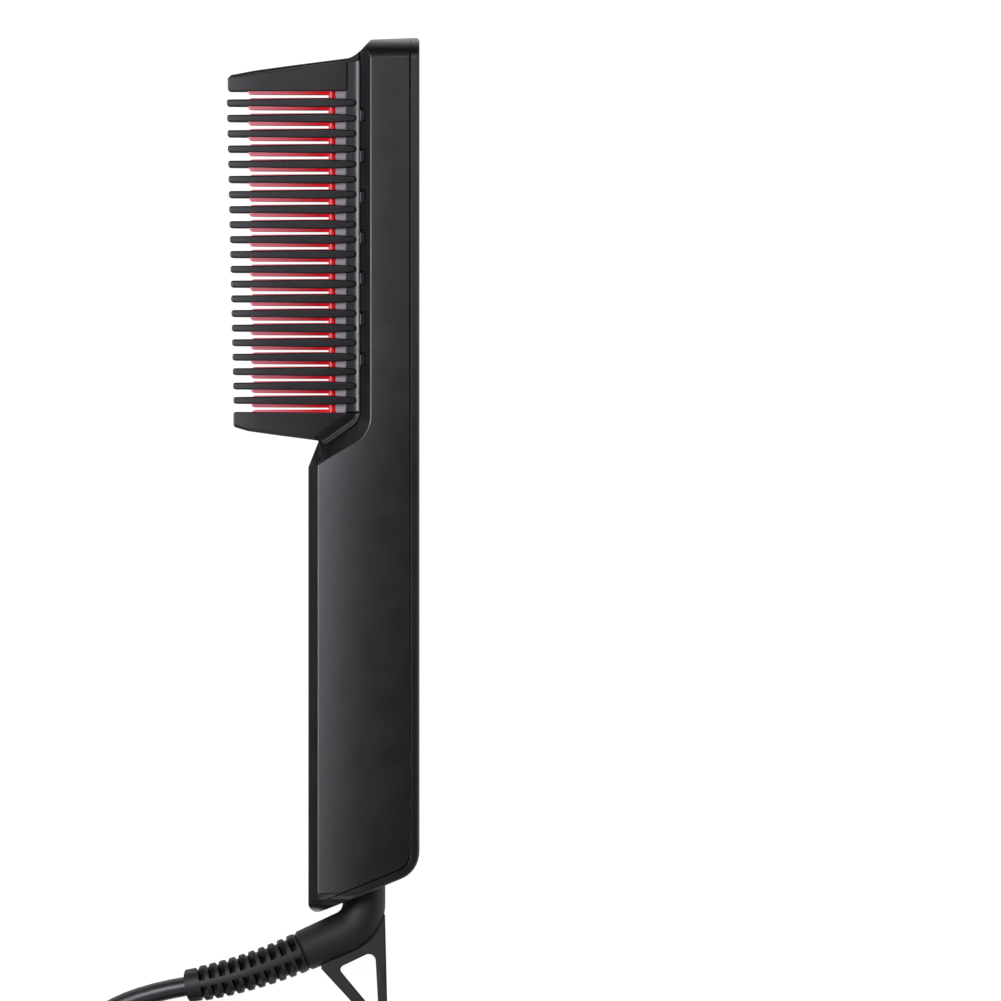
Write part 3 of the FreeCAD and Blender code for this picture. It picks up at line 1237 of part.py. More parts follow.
def build():
    """Every piece by name."""
    envelope = body_envelope()
    sides = [guard_side(1), guard_side(-1)]
    names = ("power", "minus", "plus")
    parts = {
        "rear_housing": rear_housing(envelope),
        "front_frame": front_frame(envelope),
        "front_panel": front_panel(),
        "button_rims": button_rims(),
        "tact_switches": tact_switches(),
        "control_board": control_board(),
        "led_display": led_display(),
        "board_screws": board_screws(),
        "film_capacitor": film_capacitor(),
        "triac": triac(),
        "fuse": fuse(),
        "microcontroller": microcontroller(),
        "guard_side_left": sides[0],
        "guard_side_right": sides[1],
        "guard_end_tip": guard_end_tip(sides),
        "guard_end_root": guard_end_root(sides),
        "heater_comb": heater_comb(),
        "heater_carrier": heater_carrier(),
        "heating_elements": heating_elements(),
        "heater_clamp": heater_clamp(),
        "clamp_screws": clamp_screws(),
        "thermal_cutout": thermal_cutout(),
        "temperature_sensor": temperature_sensor(),
        "head_screws": head_screws(),
        "swivel_retainer": swivel_retainer(),
        "swivel_clip": swivel_clip(),
        "swivel_elbow": swivel_elbow(),
        "slip_ring_core": slip_ring_core(),
        "slip_rings": slip_rings(),
        "contact_holder": contact_holder(),
        "contact_springs": contact_springs(),
        "supply_leads": supply_leads(),
        "heater_leads": heater_leads(),
        "strain_relief": strain_relief(),
        "cord_lead": cord_lead(),
        "cord_coil": cord_coil(),
        "cord_tie": cord_tie(),
        "cord_tail": cord_tail(),
        "plug_body": plug_body(),
        "plug_pins": plug_pins(),
    }
    for i, name in enumerate(names):
        parts[f"button_{name}"] = key(i)
        parts[f"plunger_{name}"] = plunger(i)
    return parts


def main():
    os.makedirs("parts", exist_ok=True)
    for name, shape in build().items():
        solids = shape.Solids
        if not solids or not shape.isValid():
            print(f"{name}: {len(solids)} solids, valid {shape.isValid()}")
        shape.exportStep(f"parts/{name}.step")


main()
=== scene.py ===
"""Looks for a heated straightening comb: finishes, soft edges, moulded detail, cord and stage."""

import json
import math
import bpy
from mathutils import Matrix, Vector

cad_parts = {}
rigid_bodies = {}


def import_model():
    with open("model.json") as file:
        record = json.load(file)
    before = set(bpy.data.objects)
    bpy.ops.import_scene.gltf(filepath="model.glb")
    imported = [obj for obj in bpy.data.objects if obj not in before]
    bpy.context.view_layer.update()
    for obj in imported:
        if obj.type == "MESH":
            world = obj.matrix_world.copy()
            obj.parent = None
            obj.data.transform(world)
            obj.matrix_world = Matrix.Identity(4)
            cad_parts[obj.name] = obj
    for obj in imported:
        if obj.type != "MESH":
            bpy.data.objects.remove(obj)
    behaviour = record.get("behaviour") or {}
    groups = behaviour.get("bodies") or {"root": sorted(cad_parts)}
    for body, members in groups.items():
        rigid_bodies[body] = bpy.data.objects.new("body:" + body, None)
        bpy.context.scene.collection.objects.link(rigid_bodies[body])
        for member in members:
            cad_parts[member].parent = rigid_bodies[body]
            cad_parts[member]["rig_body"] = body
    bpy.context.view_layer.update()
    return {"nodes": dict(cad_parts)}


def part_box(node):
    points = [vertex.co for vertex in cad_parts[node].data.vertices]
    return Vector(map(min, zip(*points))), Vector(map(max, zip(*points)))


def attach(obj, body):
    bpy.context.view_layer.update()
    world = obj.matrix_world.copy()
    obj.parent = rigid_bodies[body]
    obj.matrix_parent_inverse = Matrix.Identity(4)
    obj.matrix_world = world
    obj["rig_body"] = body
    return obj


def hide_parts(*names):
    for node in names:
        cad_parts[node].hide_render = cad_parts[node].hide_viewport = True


bl_info = {
    "name": "Heated Straightening Comb",
    "version": (1, 0, 0),
    "blender": (4, 5, 0),
    "location": "3D View > Sidebar > Hot Comb",
    "description": "Builds the visible pieces, finishes and stage of a heated straightening comb",
    "category": "Object",
}

import bmesh
import bpy
import numpy as np
from mathutils import Vector

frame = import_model()
NODES = frame["nodes"]
MM = 0.001


def span(node):
    """Lowest and highest corner of a CAD node in millimetres."""
    return [np.array(corner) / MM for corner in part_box(node)]


# Sizes in millimetres that the pieces share, read from the frame where it has them.
MID = sum(span("rear_housing")[i][2] for i in (0, 1)) / 2
LOWER = span("front_frame")[0][1]
UPPER = span("front_frame")[1][1]
FACE = span("front_panel")[1][0]

GAP_LOW = LOWER + 165.9              # inner edge of the near end tooth
GAP_HIGH = GAP_LOW + 106.2           # inner edge of the far end tooth
SEAT = -1.0                          # face of the head that carries the guard, along X
FOOT = (-12.4, LOWER + 154.9)        # foot of the guard's seat
KNEE = (SEAT, GAP_LOW - 3.0)         # the seat's bend
KNEE_RADIUS = 5.2
GUARD_INNER = 10.6                   # side comb's inner face, from the middle
GUARD_FACE = 13.4                    # its outer face
END_GAP = 3.8                        # from the near end tooth to the middle of the one beside it
BUNCH = 0.93                         # how far the middle tooth sits off even spacing
NEAR_TIP = -43.2                     # tip of the near end tooth, along X

ELBOW_DROP = 4.0                     # the elbow's corner, under the lower end
ELBOW_RADIUS = 10.5
NECK = 17.0                          # from that corner up the neck
ARM = 22.6                           # from it to the relief
RELIEF = 20.1                        # each leg of the relief's curve

COIL = (-62.0, LOWER - 86.0)         # middle of the coil
COIL_RADIUS = 46.75
CORD_PITCH = 6.5                     # from one turn to the next
LOW_LAYER = 3.3                      # height of the lower layer
LAYER_RISE = 6.55                    # from there to the upper layer
TIE_ANGLE = 38.0                     # place of the tie round the coil, in degrees


def linear(hex_colour):
    """Linear RGBA of an sRGB hex value such as #2b2b2e."""
    s = np.array([int(hex_colour[i:i + 2], 16) for i in (1, 3, 5)]) / 255
    return (*np.where(s <= 0.04045, s / 12.92, ((s + 0.055) / 1.055) ** 2.4).tolist(), 1.0)


# ---------------------------------------------------------------- surfaces
def inset(path, distance):
    """Closed path moved inwards: each point goes along its mitred normal by the distance."""
    edge = np.roll(path, -1, 0) - path
    normal = np.stack([edge[:, 1], -edge[:, 0]], 1) / np.linalg.norm(edge, axis=1)[:, None]
    before = np.roll(normal, 1, 0)
    mitre = (before + normal) / (1 + (before * normal).sum(1))[:, None].clip(0.06)
    return path - mitre * distance


def fillet(at, before, after, radius, count):
    """Tangent arc round a corner: its centre is on the bisector, radius / sin(half the angle) from it."""
    a, b = before - at, after - at
    a, b = a / np.linalg.norm(a), b / np.linalg.norm(b)
    half = math.acos(float(a @ b)) / 2
    swing = math.pi - 2 * half
    cut = radius / math.tan(half)
    centre = at + (a + b) / np.linalg.norm(a + b) * radius / math.sin(half)
    start, end = at + a * cut - centre, at + b * cut - centre
    t = np.linspace(0, 1, count)[:, None]
    return centre + (np.sin((1 - t) * swing) * start + np.sin(t * swing) * end) / math.sin(swing)


def outline(corners, move=0.0):
    """Closed polyline through (x, y, r) corners, its sides moved inwards. Each r > 0 becomes the tangent arc
    of that radius, less the move at an outer corner and plus the move at an inner one."""
    arc_step, least_bend, least_radius = 0.35, 0.01, 0.02
    p = np.array([c[:2] for c in corners], float)
    r = np.array([c[2] if len(c) > 2 else 0.0 for c in corners], float)
    x, y = p.T
    if (x * np.roll(y, -1) - y * np.roll(x, -1)).sum() < 0:
        p, r = p[::-1], r[::-1]
    a, b = p - np.roll(p, 1, 0), np.roll(p, -1, 0) - p
    bend = a[:, 0] * b[:, 1] - a[:, 1] * b[:, 0]
    swings = np.abs(np.arctan2(bend, (a * b).sum(1)))
    p = inset(p, move)
    runs = []
    for at, before, after, radius, way, swing in zip(p, np.roll(p, 1, 0), np.roll(p, -1, 0), r,
                                                     np.sign(bend), swings):
        if radius <= 0 or swing < least_bend:
            runs.append(at[None])
        else:
            count = int(swing * radius / arc_step) + 3
            runs.append(fillet(at, before, after, max(radius - way * move, least_radius), count))
    return np.vstack(runs)


def ease(share):
    """Smooth step: 3 s^2 - 2 s^3, with s held between 0 and 1."""
    s = np.clip(share, 0, 1)
    return s * s * (3 - 2 * s)


def run_length(path):
    """Distance along a path at each of its points."""
    return np.concatenate([[0], np.cumsum(np.linalg.norm(np.diff(path, axis=0), axis=1))])


def straight(start, end, count):
    """Points spaced evenly on the line from start to end."""
    return start + (end - start) * np.linspace(0, 1, count)[:, None]


def rectangle(left, low, right, high, radius=0.0):
    """Corners of a rectangle, all with one radius."""
    return [(left, low, radius), (right, low, radius), (right, high, radius), (left, high, radius)]


def edge_levels(low, high, radius, steps):
    """Heights and insets of a plate's rounded rim: a quarter circle at its foot and one at its top."""
    t = np.linspace(0, math.pi / 2, steps + 1)
    z = np.concatenate([low + radius * (1 - np.cos(t)), high - radius * (1 - np.cos(t[::-1]))])
    return z, np.concatenate([radius * (1 - np.sin(t)), radius * (1 - np.sin(t[::-1]))])


def plate(corners, low, high, radius, steps=3):
    """Outline in X and Y carried along Z, with rounded rims: point (level, i) is the outline's point i at
    that height, its sides moved in by the rim's quarter circle."""
    z, move = edge_levels(low, high, radius, steps)
    paths = [outline(corners, m) for m in move]
    rows = [np.column_stack([path, np.full(len(path), h)]) for path, h in zip(paths, z)]
    return np.array(rows), True


def along(path, radius, sides):
    """Tube: round the path's point i, a circle of radius[i, j] in the plane square to the path there."""
    path = np.asarray(path, float)
    tangent = np.gradient(path, axis=0)
    tangent /= np.linalg.norm(tangent, axis=1)[:, None]
    up = np.array([0.0, 0.0, 1.0]) - tangent * tangent[:, 2:3]
    up /= np.linalg.norm(up, axis=1)[:, None]
    across = np.cross(tangent, up)
    angle = np.linspace(0, 2 * math.pi, sides, endpoint=False)
    r = np.broadcast_to(np.asarray(radius, float), (len(path), sides))[..., None]
    ring = np.cos(angle)[None, :, None] * up[:, None] + np.sin(angle)[None, :, None] * across[:, None]
    return path[:, None] + r * ring, True


def piece(name, sheets, material, body, node=None, crease=32, plane="xy"):
    """Mesh object from (grid, capped) sheets in millimetres: each row of a grid is a closed ring, its cells
    become faces, and a capped sheet gets a face over its first and its last ring."""
    verts, faces, base = [], [], 0
    for grid, capped in sheets:
        rows, cols = grid.shape[:2]
        i, j = np.meshgrid(np.arange(rows - 1), np.arange(cols), indexing="ij")
        nxt = (j + 1) % cols
        quads = np.stack([i * cols + j, i * cols + nxt, (i + 1) * cols + nxt, (i + 1) * cols + j], -1)
        faces += (quads.reshape(-1, 4) + base).tolist()
        if capped:
            faces.append((base + np.arange(cols)[::-1]).tolist())
            faces.append((base + (rows - 1) * cols + np.arange(cols)).tolist())
        verts.append(grid.reshape(-1, 3))
        base += rows * cols
    points = np.vstack(verts) * MM
    if plane == "yz":
        points = points[:, [2, 0, 1]]
    mesh = bpy.data.meshes.new(name)
    mesh.from_pydata(points.tolist(), [], faces)
    tidy = bmesh.new()
    tidy.from_mesh(mesh)
    bmesh.ops.recalc_face_normals(tidy, faces=tidy.faces)
    tidy.to_mesh(mesh)
    tidy.free()
    mesh.polygons.foreach_set("use_smooth", np.ones(len(mesh.polygons), bool))
    mesh.set_sharp_from_angle(angle=math.radians(crease))
    obj = place(bpy.data.objects.new(name, mesh), material, body, node)
    shading = obj.modifiers.new("even_shading", "WEIGHTED_NORMAL")
    shading.keep_sharp = True
    return obj


def coat(obj, material):
    """Gives an object this finish and no other."""
    obj.data.materials.clear()
    obj.data.materials.append(material)


def place(obj, material, body, node=None):
    """Links a new object, gives it its finish, and lets it ride on its body in place of its CAD node."""
    bpy.context.scene.collection.objects.link(obj)
    coat(obj, material)
    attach(obj, body)
    if node:
        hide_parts(*([node] if isinstance(node, str) else node))
    return obj


def softened(node, name, material, width, angle=28.0, segments=3):
    """Copy of a CAD node with its flat faces made whole and a rounded bevel on its edges."""
    body = NODES[node]["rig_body"]
    mesh = NODES[node].data.copy()
    mesh.name = name
    work = bmesh.new()
    work.from_mesh(mesh)
    bmesh.ops.remove_doubles(work, verts=work.verts, dist=2e-6)
    bmesh.ops.dissolve_limit(work, angle_limit=math.radians(0.4), verts=work.verts, edges=work.edges)
    for face in work.faces:
        face.smooth = True
    work.to_mesh(mesh)
    work.free()
    if mesh.has_custom_normals:
        mesh.normals_split_custom_set([(0, 0, 0)] * len(mesh.loops))
    mesh.set_sharp_from_angle(angle=math.radians(angle))
    obj = place(bpy.data.objects.new(name, mesh), material, body, node)
    if width:
        bevel = obj.modifiers.new("soft_edges", "BEVEL")
        bevel.width = width * MM
        bevel.segments = segments
        bevel.limit_method = "ANGLE"
        bevel.angle_limit = math.radians(angle)
        bevel.harden_normals = True
        bevel.use_clamp_overlap = False
    return obj


# ---------------------------------------------------------------- finishes
def add_node(tree, kind, inputs=None, **settings):
    """Adds a node with its settings, and with values or links for its inputs."""
    made = tree.nodes.new(kind)
    for key, value in settings.items():
        setattr(made, key, value)
    for key, value in (inputs or {}).items():
        if isinstance(value, bpy.types.NodeSocket):
            tree.links.new(value, made.inputs[key])
        else:
            made.inputs[key].default_value = value
    return made


def bare_tree(owner):
    """Node tree of a material or a world, emptied."""
    owner.use_nodes = True
    owner.node_tree.nodes.clear()
    return owner.node_tree


def finished(name, look):
    """Material of that name, made once: look(tree, Object coordinates) gives the inputs of its shader."""
    material = bpy.data.materials.get(name)
    if material is None:
        material = bpy.data.materials.new(name)
        tree = bare_tree(material)
        coords = add_node(tree, "ShaderNodeTexCoord").outputs["Object"]
        shader = add_node(tree, "ShaderNodeBsdfPrincipled", look(tree, coords))
        add_node(tree, "ShaderNodeOutputMaterial", {"Surface": shader.outputs[0]})
    return material


def noise(tree, coords, size, detail=2.0, roughness=0.5):
    """Cloud whose lumps are about size millimetres wide."""
    inputs = {"Vector": coords, "Scale": 1 / (size * MM), "Detail": detail, "Roughness": roughness}
    return add_node(tree, "ShaderNodeTexNoise", inputs).outputs["Fac"]


def carried(tree, value, low, high, source=(0.0, 1.0)):
    """Value carried from the source span to low and high, and held at its ends."""
    inputs = {"Value": value, "From Min": source[0], "From Max": source[1], "To Min": low, "To Max": high}
    return add_node(tree, "ShaderNodeMapRange", inputs).outputs["Result"]


def result_of(tree, operation, first, second):
    """Result of an operation on two values."""
    return add_node(tree, "ShaderNodeMath", {0: first, 1: second}, operation=operation).outputs[0]


def mixed(tree, share, first, second):
    """Colour between two colours."""
    inputs = {"Factor": share, "A": first, "B": second}
    return add_node(tree, "ShaderNodeMix", inputs, data_type="RGBA").outputs["Result"]


def bumped(tree, height, depth, under=None):
    """Normal of a height field that is depth millimetres high, laid over another normal if one is given."""
    inputs = {"Height": height, "Strength": 1.0, "Distance": depth * MM}
    if under is not None:
        inputs["Normal"] = under
    return add_node(tree, "ShaderNodeBump", inputs).outputs["Normal"]


# Along Y in millimetres: the handle, and the stretch where the handle turns into the head.
HANDLE_RUN = (-125.0, -6.0)
HEAD_RUN = (-6.0, 34.0)


def sunk(tree, coords, crown, crown_at):
    """Normal of a side face that falls by crown times the square of the distance from its highest line. That
    line's X is given at the handle's low end, at its high end and in the head."""
    low, high, head = (x * MM for x in crown_at)
    apart = add_node(tree, "ShaderNodeSeparateXYZ", {"Vector": coords})
    up_head = carried(tree, apart.outputs["Y"], high, head, [y * MM for y in HEAD_RUN])
    down_handle = carried(tree, apart.outputs["Y"], high - low, 0.0, [y * MM for y in HANDLE_RUN])
    shift = result_of(tree, "SUBTRACT", result_of(tree, "ADD", apart.outputs["X"], down_handle), up_head)
    fall = result_of(tree, "MULTIPLY", result_of(tree, "MULTIPLY", shift, shift), -crown / MM)
    return bumped(tree, fall, 1 / MM)


def moulded(name, hex_colour, roughness, grain, depth, ior=1.54, crown=0.0, crown_at=(0.0, 0.0, 0.0),
            cloud=9.0):
    """Moulded plastic: spark-eroded grain of a real size in mm, faint mottling and uneven polish.

    crown is the fall of a side face in mm per square mm, as thick walls pull in when they cool, and crown_at
    its highest line, as sunk takes it. cloud is the size of the mottling in mm.
    """
    mottle, uneven = 0.12, 0.03
    base = linear(hex_colour)[:3]
    dark, pale = ((*[c * share for c in base], 1) for share in (1 - mottle, 1 + mottle))

    def look(tree, coords):
        drift = noise(tree, coords, cloud, 3.0)
        under = sunk(tree, coords, crown, crown_at) if crown else None
        return {
            "Base Color": mixed(tree, drift, dark, pale),
            "Roughness": carried(tree, drift, roughness - uneven, roughness + uneven, (0.3, 0.7)),
            "Normal": bumped(tree, noise(tree, coords, grain, roughness=0.6), depth, under),
            "IOR": ior,
        }
    return finished(name, look)


def metal(name, hex_colour, roughness):
    """Plated or turned metal with fine polishing marks."""
    def look(tree, coords):
        marks = noise(tree, coords, 0.15, 4.0)
        return {
            "Base Color": linear(hex_colour),
            "Metallic": 1.0,
            "Roughness": carried(tree, marks, roughness * 0.7, roughness * 1.3),
            "Normal": bumped(tree, marks, 0.002),
        }
    return finished(name, look)


def red_heater_coating():
    """Ceramic-loaded red enamel on die-cast aluminium: satin, with a painted highlight that pales it to pink
    towards the tips.
    """
    def look(tree, coords):
        tip, root = -34.0 * MM, -15.0 * MM
        apart = add_node(tree, "ShaderNodeSeparateXYZ", {"Vector": coords})
        # painted highlight: the base colour runs from red at the root to pale pink at the tips, standing in
        # for light on the teeth
        painted_tip_highlight = carried(tree, apart.outputs["X"], 1.0, 0.0, (tip, root))
        return {
            "Base Color": mixed(tree, painted_tip_highlight, linear("#f51f2e"), linear("#ff93a0")),
            "Roughness": 0.38,
            "Normal": bumped(tree, noise(tree, coords, 0.25, 3.0), 0.006),
            "IOR": 1.5,
        }
    return finished("red_ceramic_enamel", look)


def gloss_inlay():
    """Gloss black acrylic under a clear polish, half of it painted white as a reflection of a bright light,
    parted on the middle plane.
    """
    def look(tree, coords):
        apart = add_node(tree, "ShaderNodeSeparateXYZ", {"Vector": coords})
        # painted reflection: the half with Z under the middle plane gets a near-white base colour for a
        # reflected light, the other half keeps the panel's own black
        side = result_of(tree, "GREATER_THAN", apart.outputs["Z"], MID * MM)
        return {
            "Base Color": mixed(tree, side, linear("#f0f0f1"), linear("#0f0f11")),
            "Roughness": 0.08,
            "Normal": bumped(tree, noise(tree, coords, 14.0, 1.0), 0.03),
            "IOR": 1.49,
        }
    return finished("two_tone_acrylic", look)


def glowing_segments():
    """Red light-emitting segments seen through the dark window."""
    def look(tree, coords):
        return {
            "Base Color": linear("#3a0010"),
            "Roughness": 0.4,
            "Emission Color": mixed(tree, noise(tree, coords, 0.8), linear("#e8003f"), linear("#d8003a")),
            "Emission Strength": 0.9,
        }
    return finished("red_led_segments", look)


def housing_abs():
    """Charcoal plastic of housing and frame."""
    return moulded("charcoal_spark_abs", "#0b0b0c", 0.34, 0.45, 0.012, ior=1.48, crown=0.0042,
                   crown_at=(-3.4, 0.0, 7.0))


def guard_nylon():
    """Charcoal glass-filled plastic of the guard."""
    return moulded("charcoal_glass_nylon", "#0f0f10", 0.34, 0.5, 0.02, ior=1.48, crown=0.0032,
                   crown_at=(-34.0, -34.0, -34.0))


def cord_pvc():
    """Soft black sheath of cord and plug."""
    return moulded("black_soft_pvc", "#161617", 0.42, 0.8, 0.01, cloud=14.0)


def relief_tpe():
    """Black rubber of strain relief and tie."""
    return moulded("black_relief_rubber", "#101011", 0.55, 0.5, 0.02, ior=1.43)


# ---------------------------------------------------------------- settings
class CombSizes(bpy.types.PropertyGroup):
    """Sizes of the comb and its cord"""
    cord_length: bpy.props.FloatProperty(name="Cord length", description="From strain relief to plug",
                                         default=1.8, unit="LENGTH")
    cord_width: bpy.props.FloatProperty(name="Cord diameter", description="Outside the sheath",
                                        default=0.0065, unit="LENGTH")
    rib_count: bpy.props.IntProperty(name="Guard teeth", description="Plain teeth on each side", default=21,
                                     min=3)
    rib_pitch: bpy.props.FloatProperty(name="Tooth pitch (mm)", description="From one tooth to the next",
                                       default=4.93)
    edge_softness: bpy.props.FloatProperty(name="Edge radius (mm)",
                                           description="Rounding of the moulded edges", default=0.3)


class CombStage(bpy.types.PropertyGroup):
    """Colour of the surroundings and strength of the lamps"""
    floor_colour: bpy.props.FloatVectorProperty(name="Floor", description="Colour of floor and backdrop",
                                                subtype="COLOR", size=4, default=linear("#ffffff"))
    lamp_strength: bpy.props.FloatProperty(name="Lamp strength", description="Scales every lamp",
                                           default=1.0, min=0.0)


# ---------------------------------------------------------------- cord
def cord_route():
    """Control points of the cord in millimetres: the lead, a coil, and the tail to the plug.

    The coil is a spiral: three turns inwards, one that climbs to the upper layer, and three outwards. The
    climb is a smooth step, with a swing inwards by half a sine. Every turn lifts a little at the tie.
    """
    lead = np.array([[-58.29, LOWER - 24.59, 11.04], [-73.6, LOWER - 27.2, 7.3], [-91.0, LOWER - 36.0, 3.8],
                     [-103.5, LOWER - 51.5, 3.3], [-108.2, LOWER - 69.0, 3.3], [-109.05, LOWER - 86.0, 3.3]])
    per_turn, inwards, climbing, outwards = 16, 3, 1, 3
    swing, tie_lift, tie_spread = 2.35, 0.95, 24.0
    turns = np.arange(1, (inwards + climbing + outwards) * per_turn) / per_turn
    climb = np.clip(turns - inwards, 0, climbing)
    wound = np.clip(turns, 0, inwards) - np.clip(turns - inwards - climbing, 0, outwards)
    swell = 1 / math.cos(math.pi / per_turn) ** 1.2     # the curve runs inside its control points
    radius = (COIL_RADIUS - CORD_PITCH * wound - swing * np.sin(np.pi * climb)) * swell
    angle = math.pi + 2 * math.pi * turns
    from_tie = (np.degrees(angle) - TIE_ANGLE + 180) % 360 - 180
    z = LOW_LAYER + LAYER_RISE * ease(climb) + tie_lift * np.exp(-(from_tie / tie_spread) ** 2)
    ring = np.stack([COIL[0] + radius * np.cos(angle), COIL[1] + radius * np.sin(angle), z], 1)
    low = LOWER - 159.0
    tail = np.array([[-109.05, LOWER - 86.0, 9.85], [-108.15, LOWER - 103.0, 9.7],
                     [-107.6, LOWER - 124.0, 9.1], [-98.5, LOWER - 143.5, 8.0], [-83.0, LOWER - 155.5, 7.1],
                     [-66.0, low, 6.85], [-55.0, low, 6.85], [-50.0, low, 6.85]])
    return np.vstack([lead, ring, tail])


class OBJECT_OT_comb_cord(bpy.types.Operator):
    """Builds the mains cord as one smooth curve, with the band that ties its coil"""
    bl_idname = "object.comb_cord"
    bl_label = "Mains cord"

    def execute(self, context):
        sizes = context.scene.comb_sizes
        route = cord_route() * MM
        curve = bpy.data.curves.new("cord", "CURVE")
        curve.dimensions = "3D"
        curve.bevel_depth = sizes.cord_width / 2
        curve.bevel_resolution = 6
        curve.resolution_u = 5
        curve.use_fill_caps = True
        spline = curve.splines.new("NURBS")
        spline.points.add(len(route) - 1)
        spline.points.foreach_set("co", np.column_stack([route, np.ones(len(route))]).ravel())
        spline.order_u = 3
        spline.use_endpoint_u = True
        cord = place(bpy.data.objects.new("cord", curve), cord_pvc(), "swivel",
                     ["cord_lead", "cord_coil", "cord_tail"])
        tie = coil_tie()
        return {"FINISHED"}


def coil_tie():
    """Band round the coil's section: a rounded rectangle ring swept 9 mm along the turns, with a lug."""
    thick, half, soft = 0.8, 4.5, 0.25
    outer = outline(rectangle(20.8, 0.05, 50.95, 14.85, 2.4))
    inner = inset(outer, thick)
    rows = [(outer, -half + soft), (outer, half - soft), (inset(outer, soft), half),
            (inset(outer, thick - soft), half), (inner, half - soft), (inner, -half + soft),
            (inset(outer, thick - soft), -half), (inset(outer, soft), -half)]
    grid = np.array([np.column_stack([p[:, 0], np.full(len(p), y), p[:, 1]]) for p, y in rows + rows[:1]])
    lug = plate(rectangle(46.0, -2.5, 52.0, 2.5, 1.0), 13.6, 15.4, 0.4)[0]
    turn = math.radians(TIE_ANGLE)
    spin = np.array([[math.cos(turn), math.sin(turn), 0], [-math.sin(turn), math.cos(turn), 0], [0, 0, 1]])
    shift = np.array([*COIL, 0])
    return piece("coil_tie", [(grid @ spin + shift, False), (lug @ spin + shift, True)], relief_tpe(),
                 "swivel", "cord_tie")


# ---------------------------------------------------------------- swivel and relief
def bent_arm():
    """Centreline of the elbow: down the swivel axis, round a tangent arc, out along the arm."""
    fall = math.radians(24.0)
    corner = np.array([0, LOWER - ELBOW_DROP, MID])
    up, out = np.array([0, 1.0, 0]), np.array([-math.cos(fall), -math.sin(fall), 0])
    arc = fillet(corner, corner + up, corner + out, ELBOW_RADIUS, 36)
    cut = np.linalg.norm(arc[0] - corner)
    neck = corner + up * np.linspace(NECK, cut, 12, endpoint=False)[:, None]
    arm = corner + out * np.linspace(cut, ARM, 16)[1:, None]
    return np.vstack([neck, arc, arm]), corner + out * ARM, out


class OBJECT_OT_comb_swivel(bpy.types.Operator):
    """Builds the swivel elbow with its hanging loop, and the ringed strain relief"""
    bl_idname = "object.comb_swivel"
    bl_label = "Swivel and strain relief"

    def execute(self, context):
        path, start, out = bent_arm()
        length = run_length(path)
        left = length[-1] - length
        radius = 7.1 - 0.3 * np.clip((length - 24) / 16, 0, 1) - 0.9 * np.clip(1 - left / 0.9, 0, 1) ** 2
        finish = moulded("charcoal_elbow_abs", "#111113", 0.6, 0.4, 0.04, ior=1.45)
        piece("elbow", [along(path, radius[:, None], 72), loop_plate()], finish, "swivel", "swivel_elbow",
              crease=40)
        fall, dive = math.radians(9.5), math.radians(13.4)
        middle = start + out * RELIEF
        way = np.array([-math.cos(fall) * math.cos(dive), -math.sin(fall) * math.cos(dive), -math.sin(dive)])
        end = middle + RELIEF * way
        t = np.linspace(0, 1, 520)[:, None]
        axis = start * (1 - t) ** 2 + 2 * middle * t * (1 - t) + end * t ** 2
        piece("strain_relief_sleeve", [relief_surface(axis)], relief_tpe(), "swivel", "strain_relief",
              crease=50)
        return {"FINISHED"}


def relief_surface(axis):
    """Sleeve: radius = outer, less outer - core in slots beside the spine, less notches at its edge."""
    sides, slot_count, slot_pitch, first_slot = 144, 10, 3.53, 1.9
    s = run_length(axis)
    share = s / s[-1]
    outer = 6.75 - 1.05 * share
    core = 3.5 - 0.3 * share
    slot_at = first_slot + slot_pitch * np.arange(slot_count)
    from_slot = np.abs(s[:, None] - slot_at).min(1)
    from_rib = np.abs(s[:, None] - slot_at - slot_pitch / 2).min(1)
    angle = np.linspace(0, 2 * math.pi, sides, endpoint=False)
    wide = np.abs(np.sin(angle))[None, :] * outer[:, None]
    edge = (outer - 1.25)[:, None]
    slot = ease((1.1 - from_slot) / 0.3)[:, None] * ease((wide - 1.2) / 0.4) * ease((edge - wide) / 0.35)
    rim = ease((wide - edge + 0.4) / 0.8)
    notch = (0.75 * ease((0.95 - from_rib) / 0.6) + 0.25 * ease(from_slot - 0.6))[:, None] * rim
    radius = outer[:, None] - (outer - core)[:, None] * slot - notch
    radius[-1] -= 0.35
    radius[0] -= 0.3
    return along(axis, radius, sides)


def evenly_turned(path, centre, count):
    """Points of a closed path at even angles round a centre, the first one straight to its left."""
    dense = 4000
    closed = np.vstack([path, path[:1]])
    run = run_length(closed)
    fine = np.linspace(0, run[-1], dense, endpoint=False)
    points = np.stack([np.interp(fine, run, closed[:, k]) for k in (0, 1)], 1)
    angle = np.unwrap(np.arctan2(*(points - centre).T[::-1]))
    turn = angle - angle[0]
    want = np.linspace(0, 2 * math.pi, count, endpoint=False) + math.pi - (angle[0] % (2 * math.pi))
    order = np.argsort(turn)
    pick = np.interp(want % (2 * math.pi), turn[order] % (2 * math.pi + 1e-9), np.arange(dense)[order])
    return points[pick.astype(int) % dense]


def loop_plate():
    """Flat hanging loop: an outer and an inner closed outline matched by angle, joined over rounded rims."""
    y, count, half, soft = LOWER, 220, 2.1, 0.5
    outer = outline([(7.0, y - 0.5), (-1.0, y - 4.0), (-13.0, y - 10.6), (-14.3, y - 18.7, 1.0),
                     (8.05, y - 43.0, 3.6)])
    hole = outline([(-8.6, y - 18.6, 1.4), (3.7, y - 12.7, 2.3), (4.9, y - 34.8, 1.4)])
    centre = hole.mean(0)
    heights, moves = edge_levels(MID - half, MID + half, soft, 3)
    a, b = evenly_turned(outer, centre, count), evenly_turned(hole, centre, count)
    rows = [np.column_stack([inset(a, m), np.full(count, h)]) for h, m in zip(heights, moves)]
    rows += [np.column_stack([inset(b, -m), np.full(count, h)]) for h, m in zip(heights[::-1], moves[::-1])]
    return np.array(rows + rows[:1]), False


# ---------------------------------------------------------------- comb
def tooth_y(i, sizes):
    """Middle of tooth i: even spacing, less a parabola that is BUNCH deep half-way along."""
    share = i / (sizes.rib_count - 1)
    return GAP_LOW + END_GAP + sizes.rib_pitch * i - BUNCH * 4 * share * (1 - share)


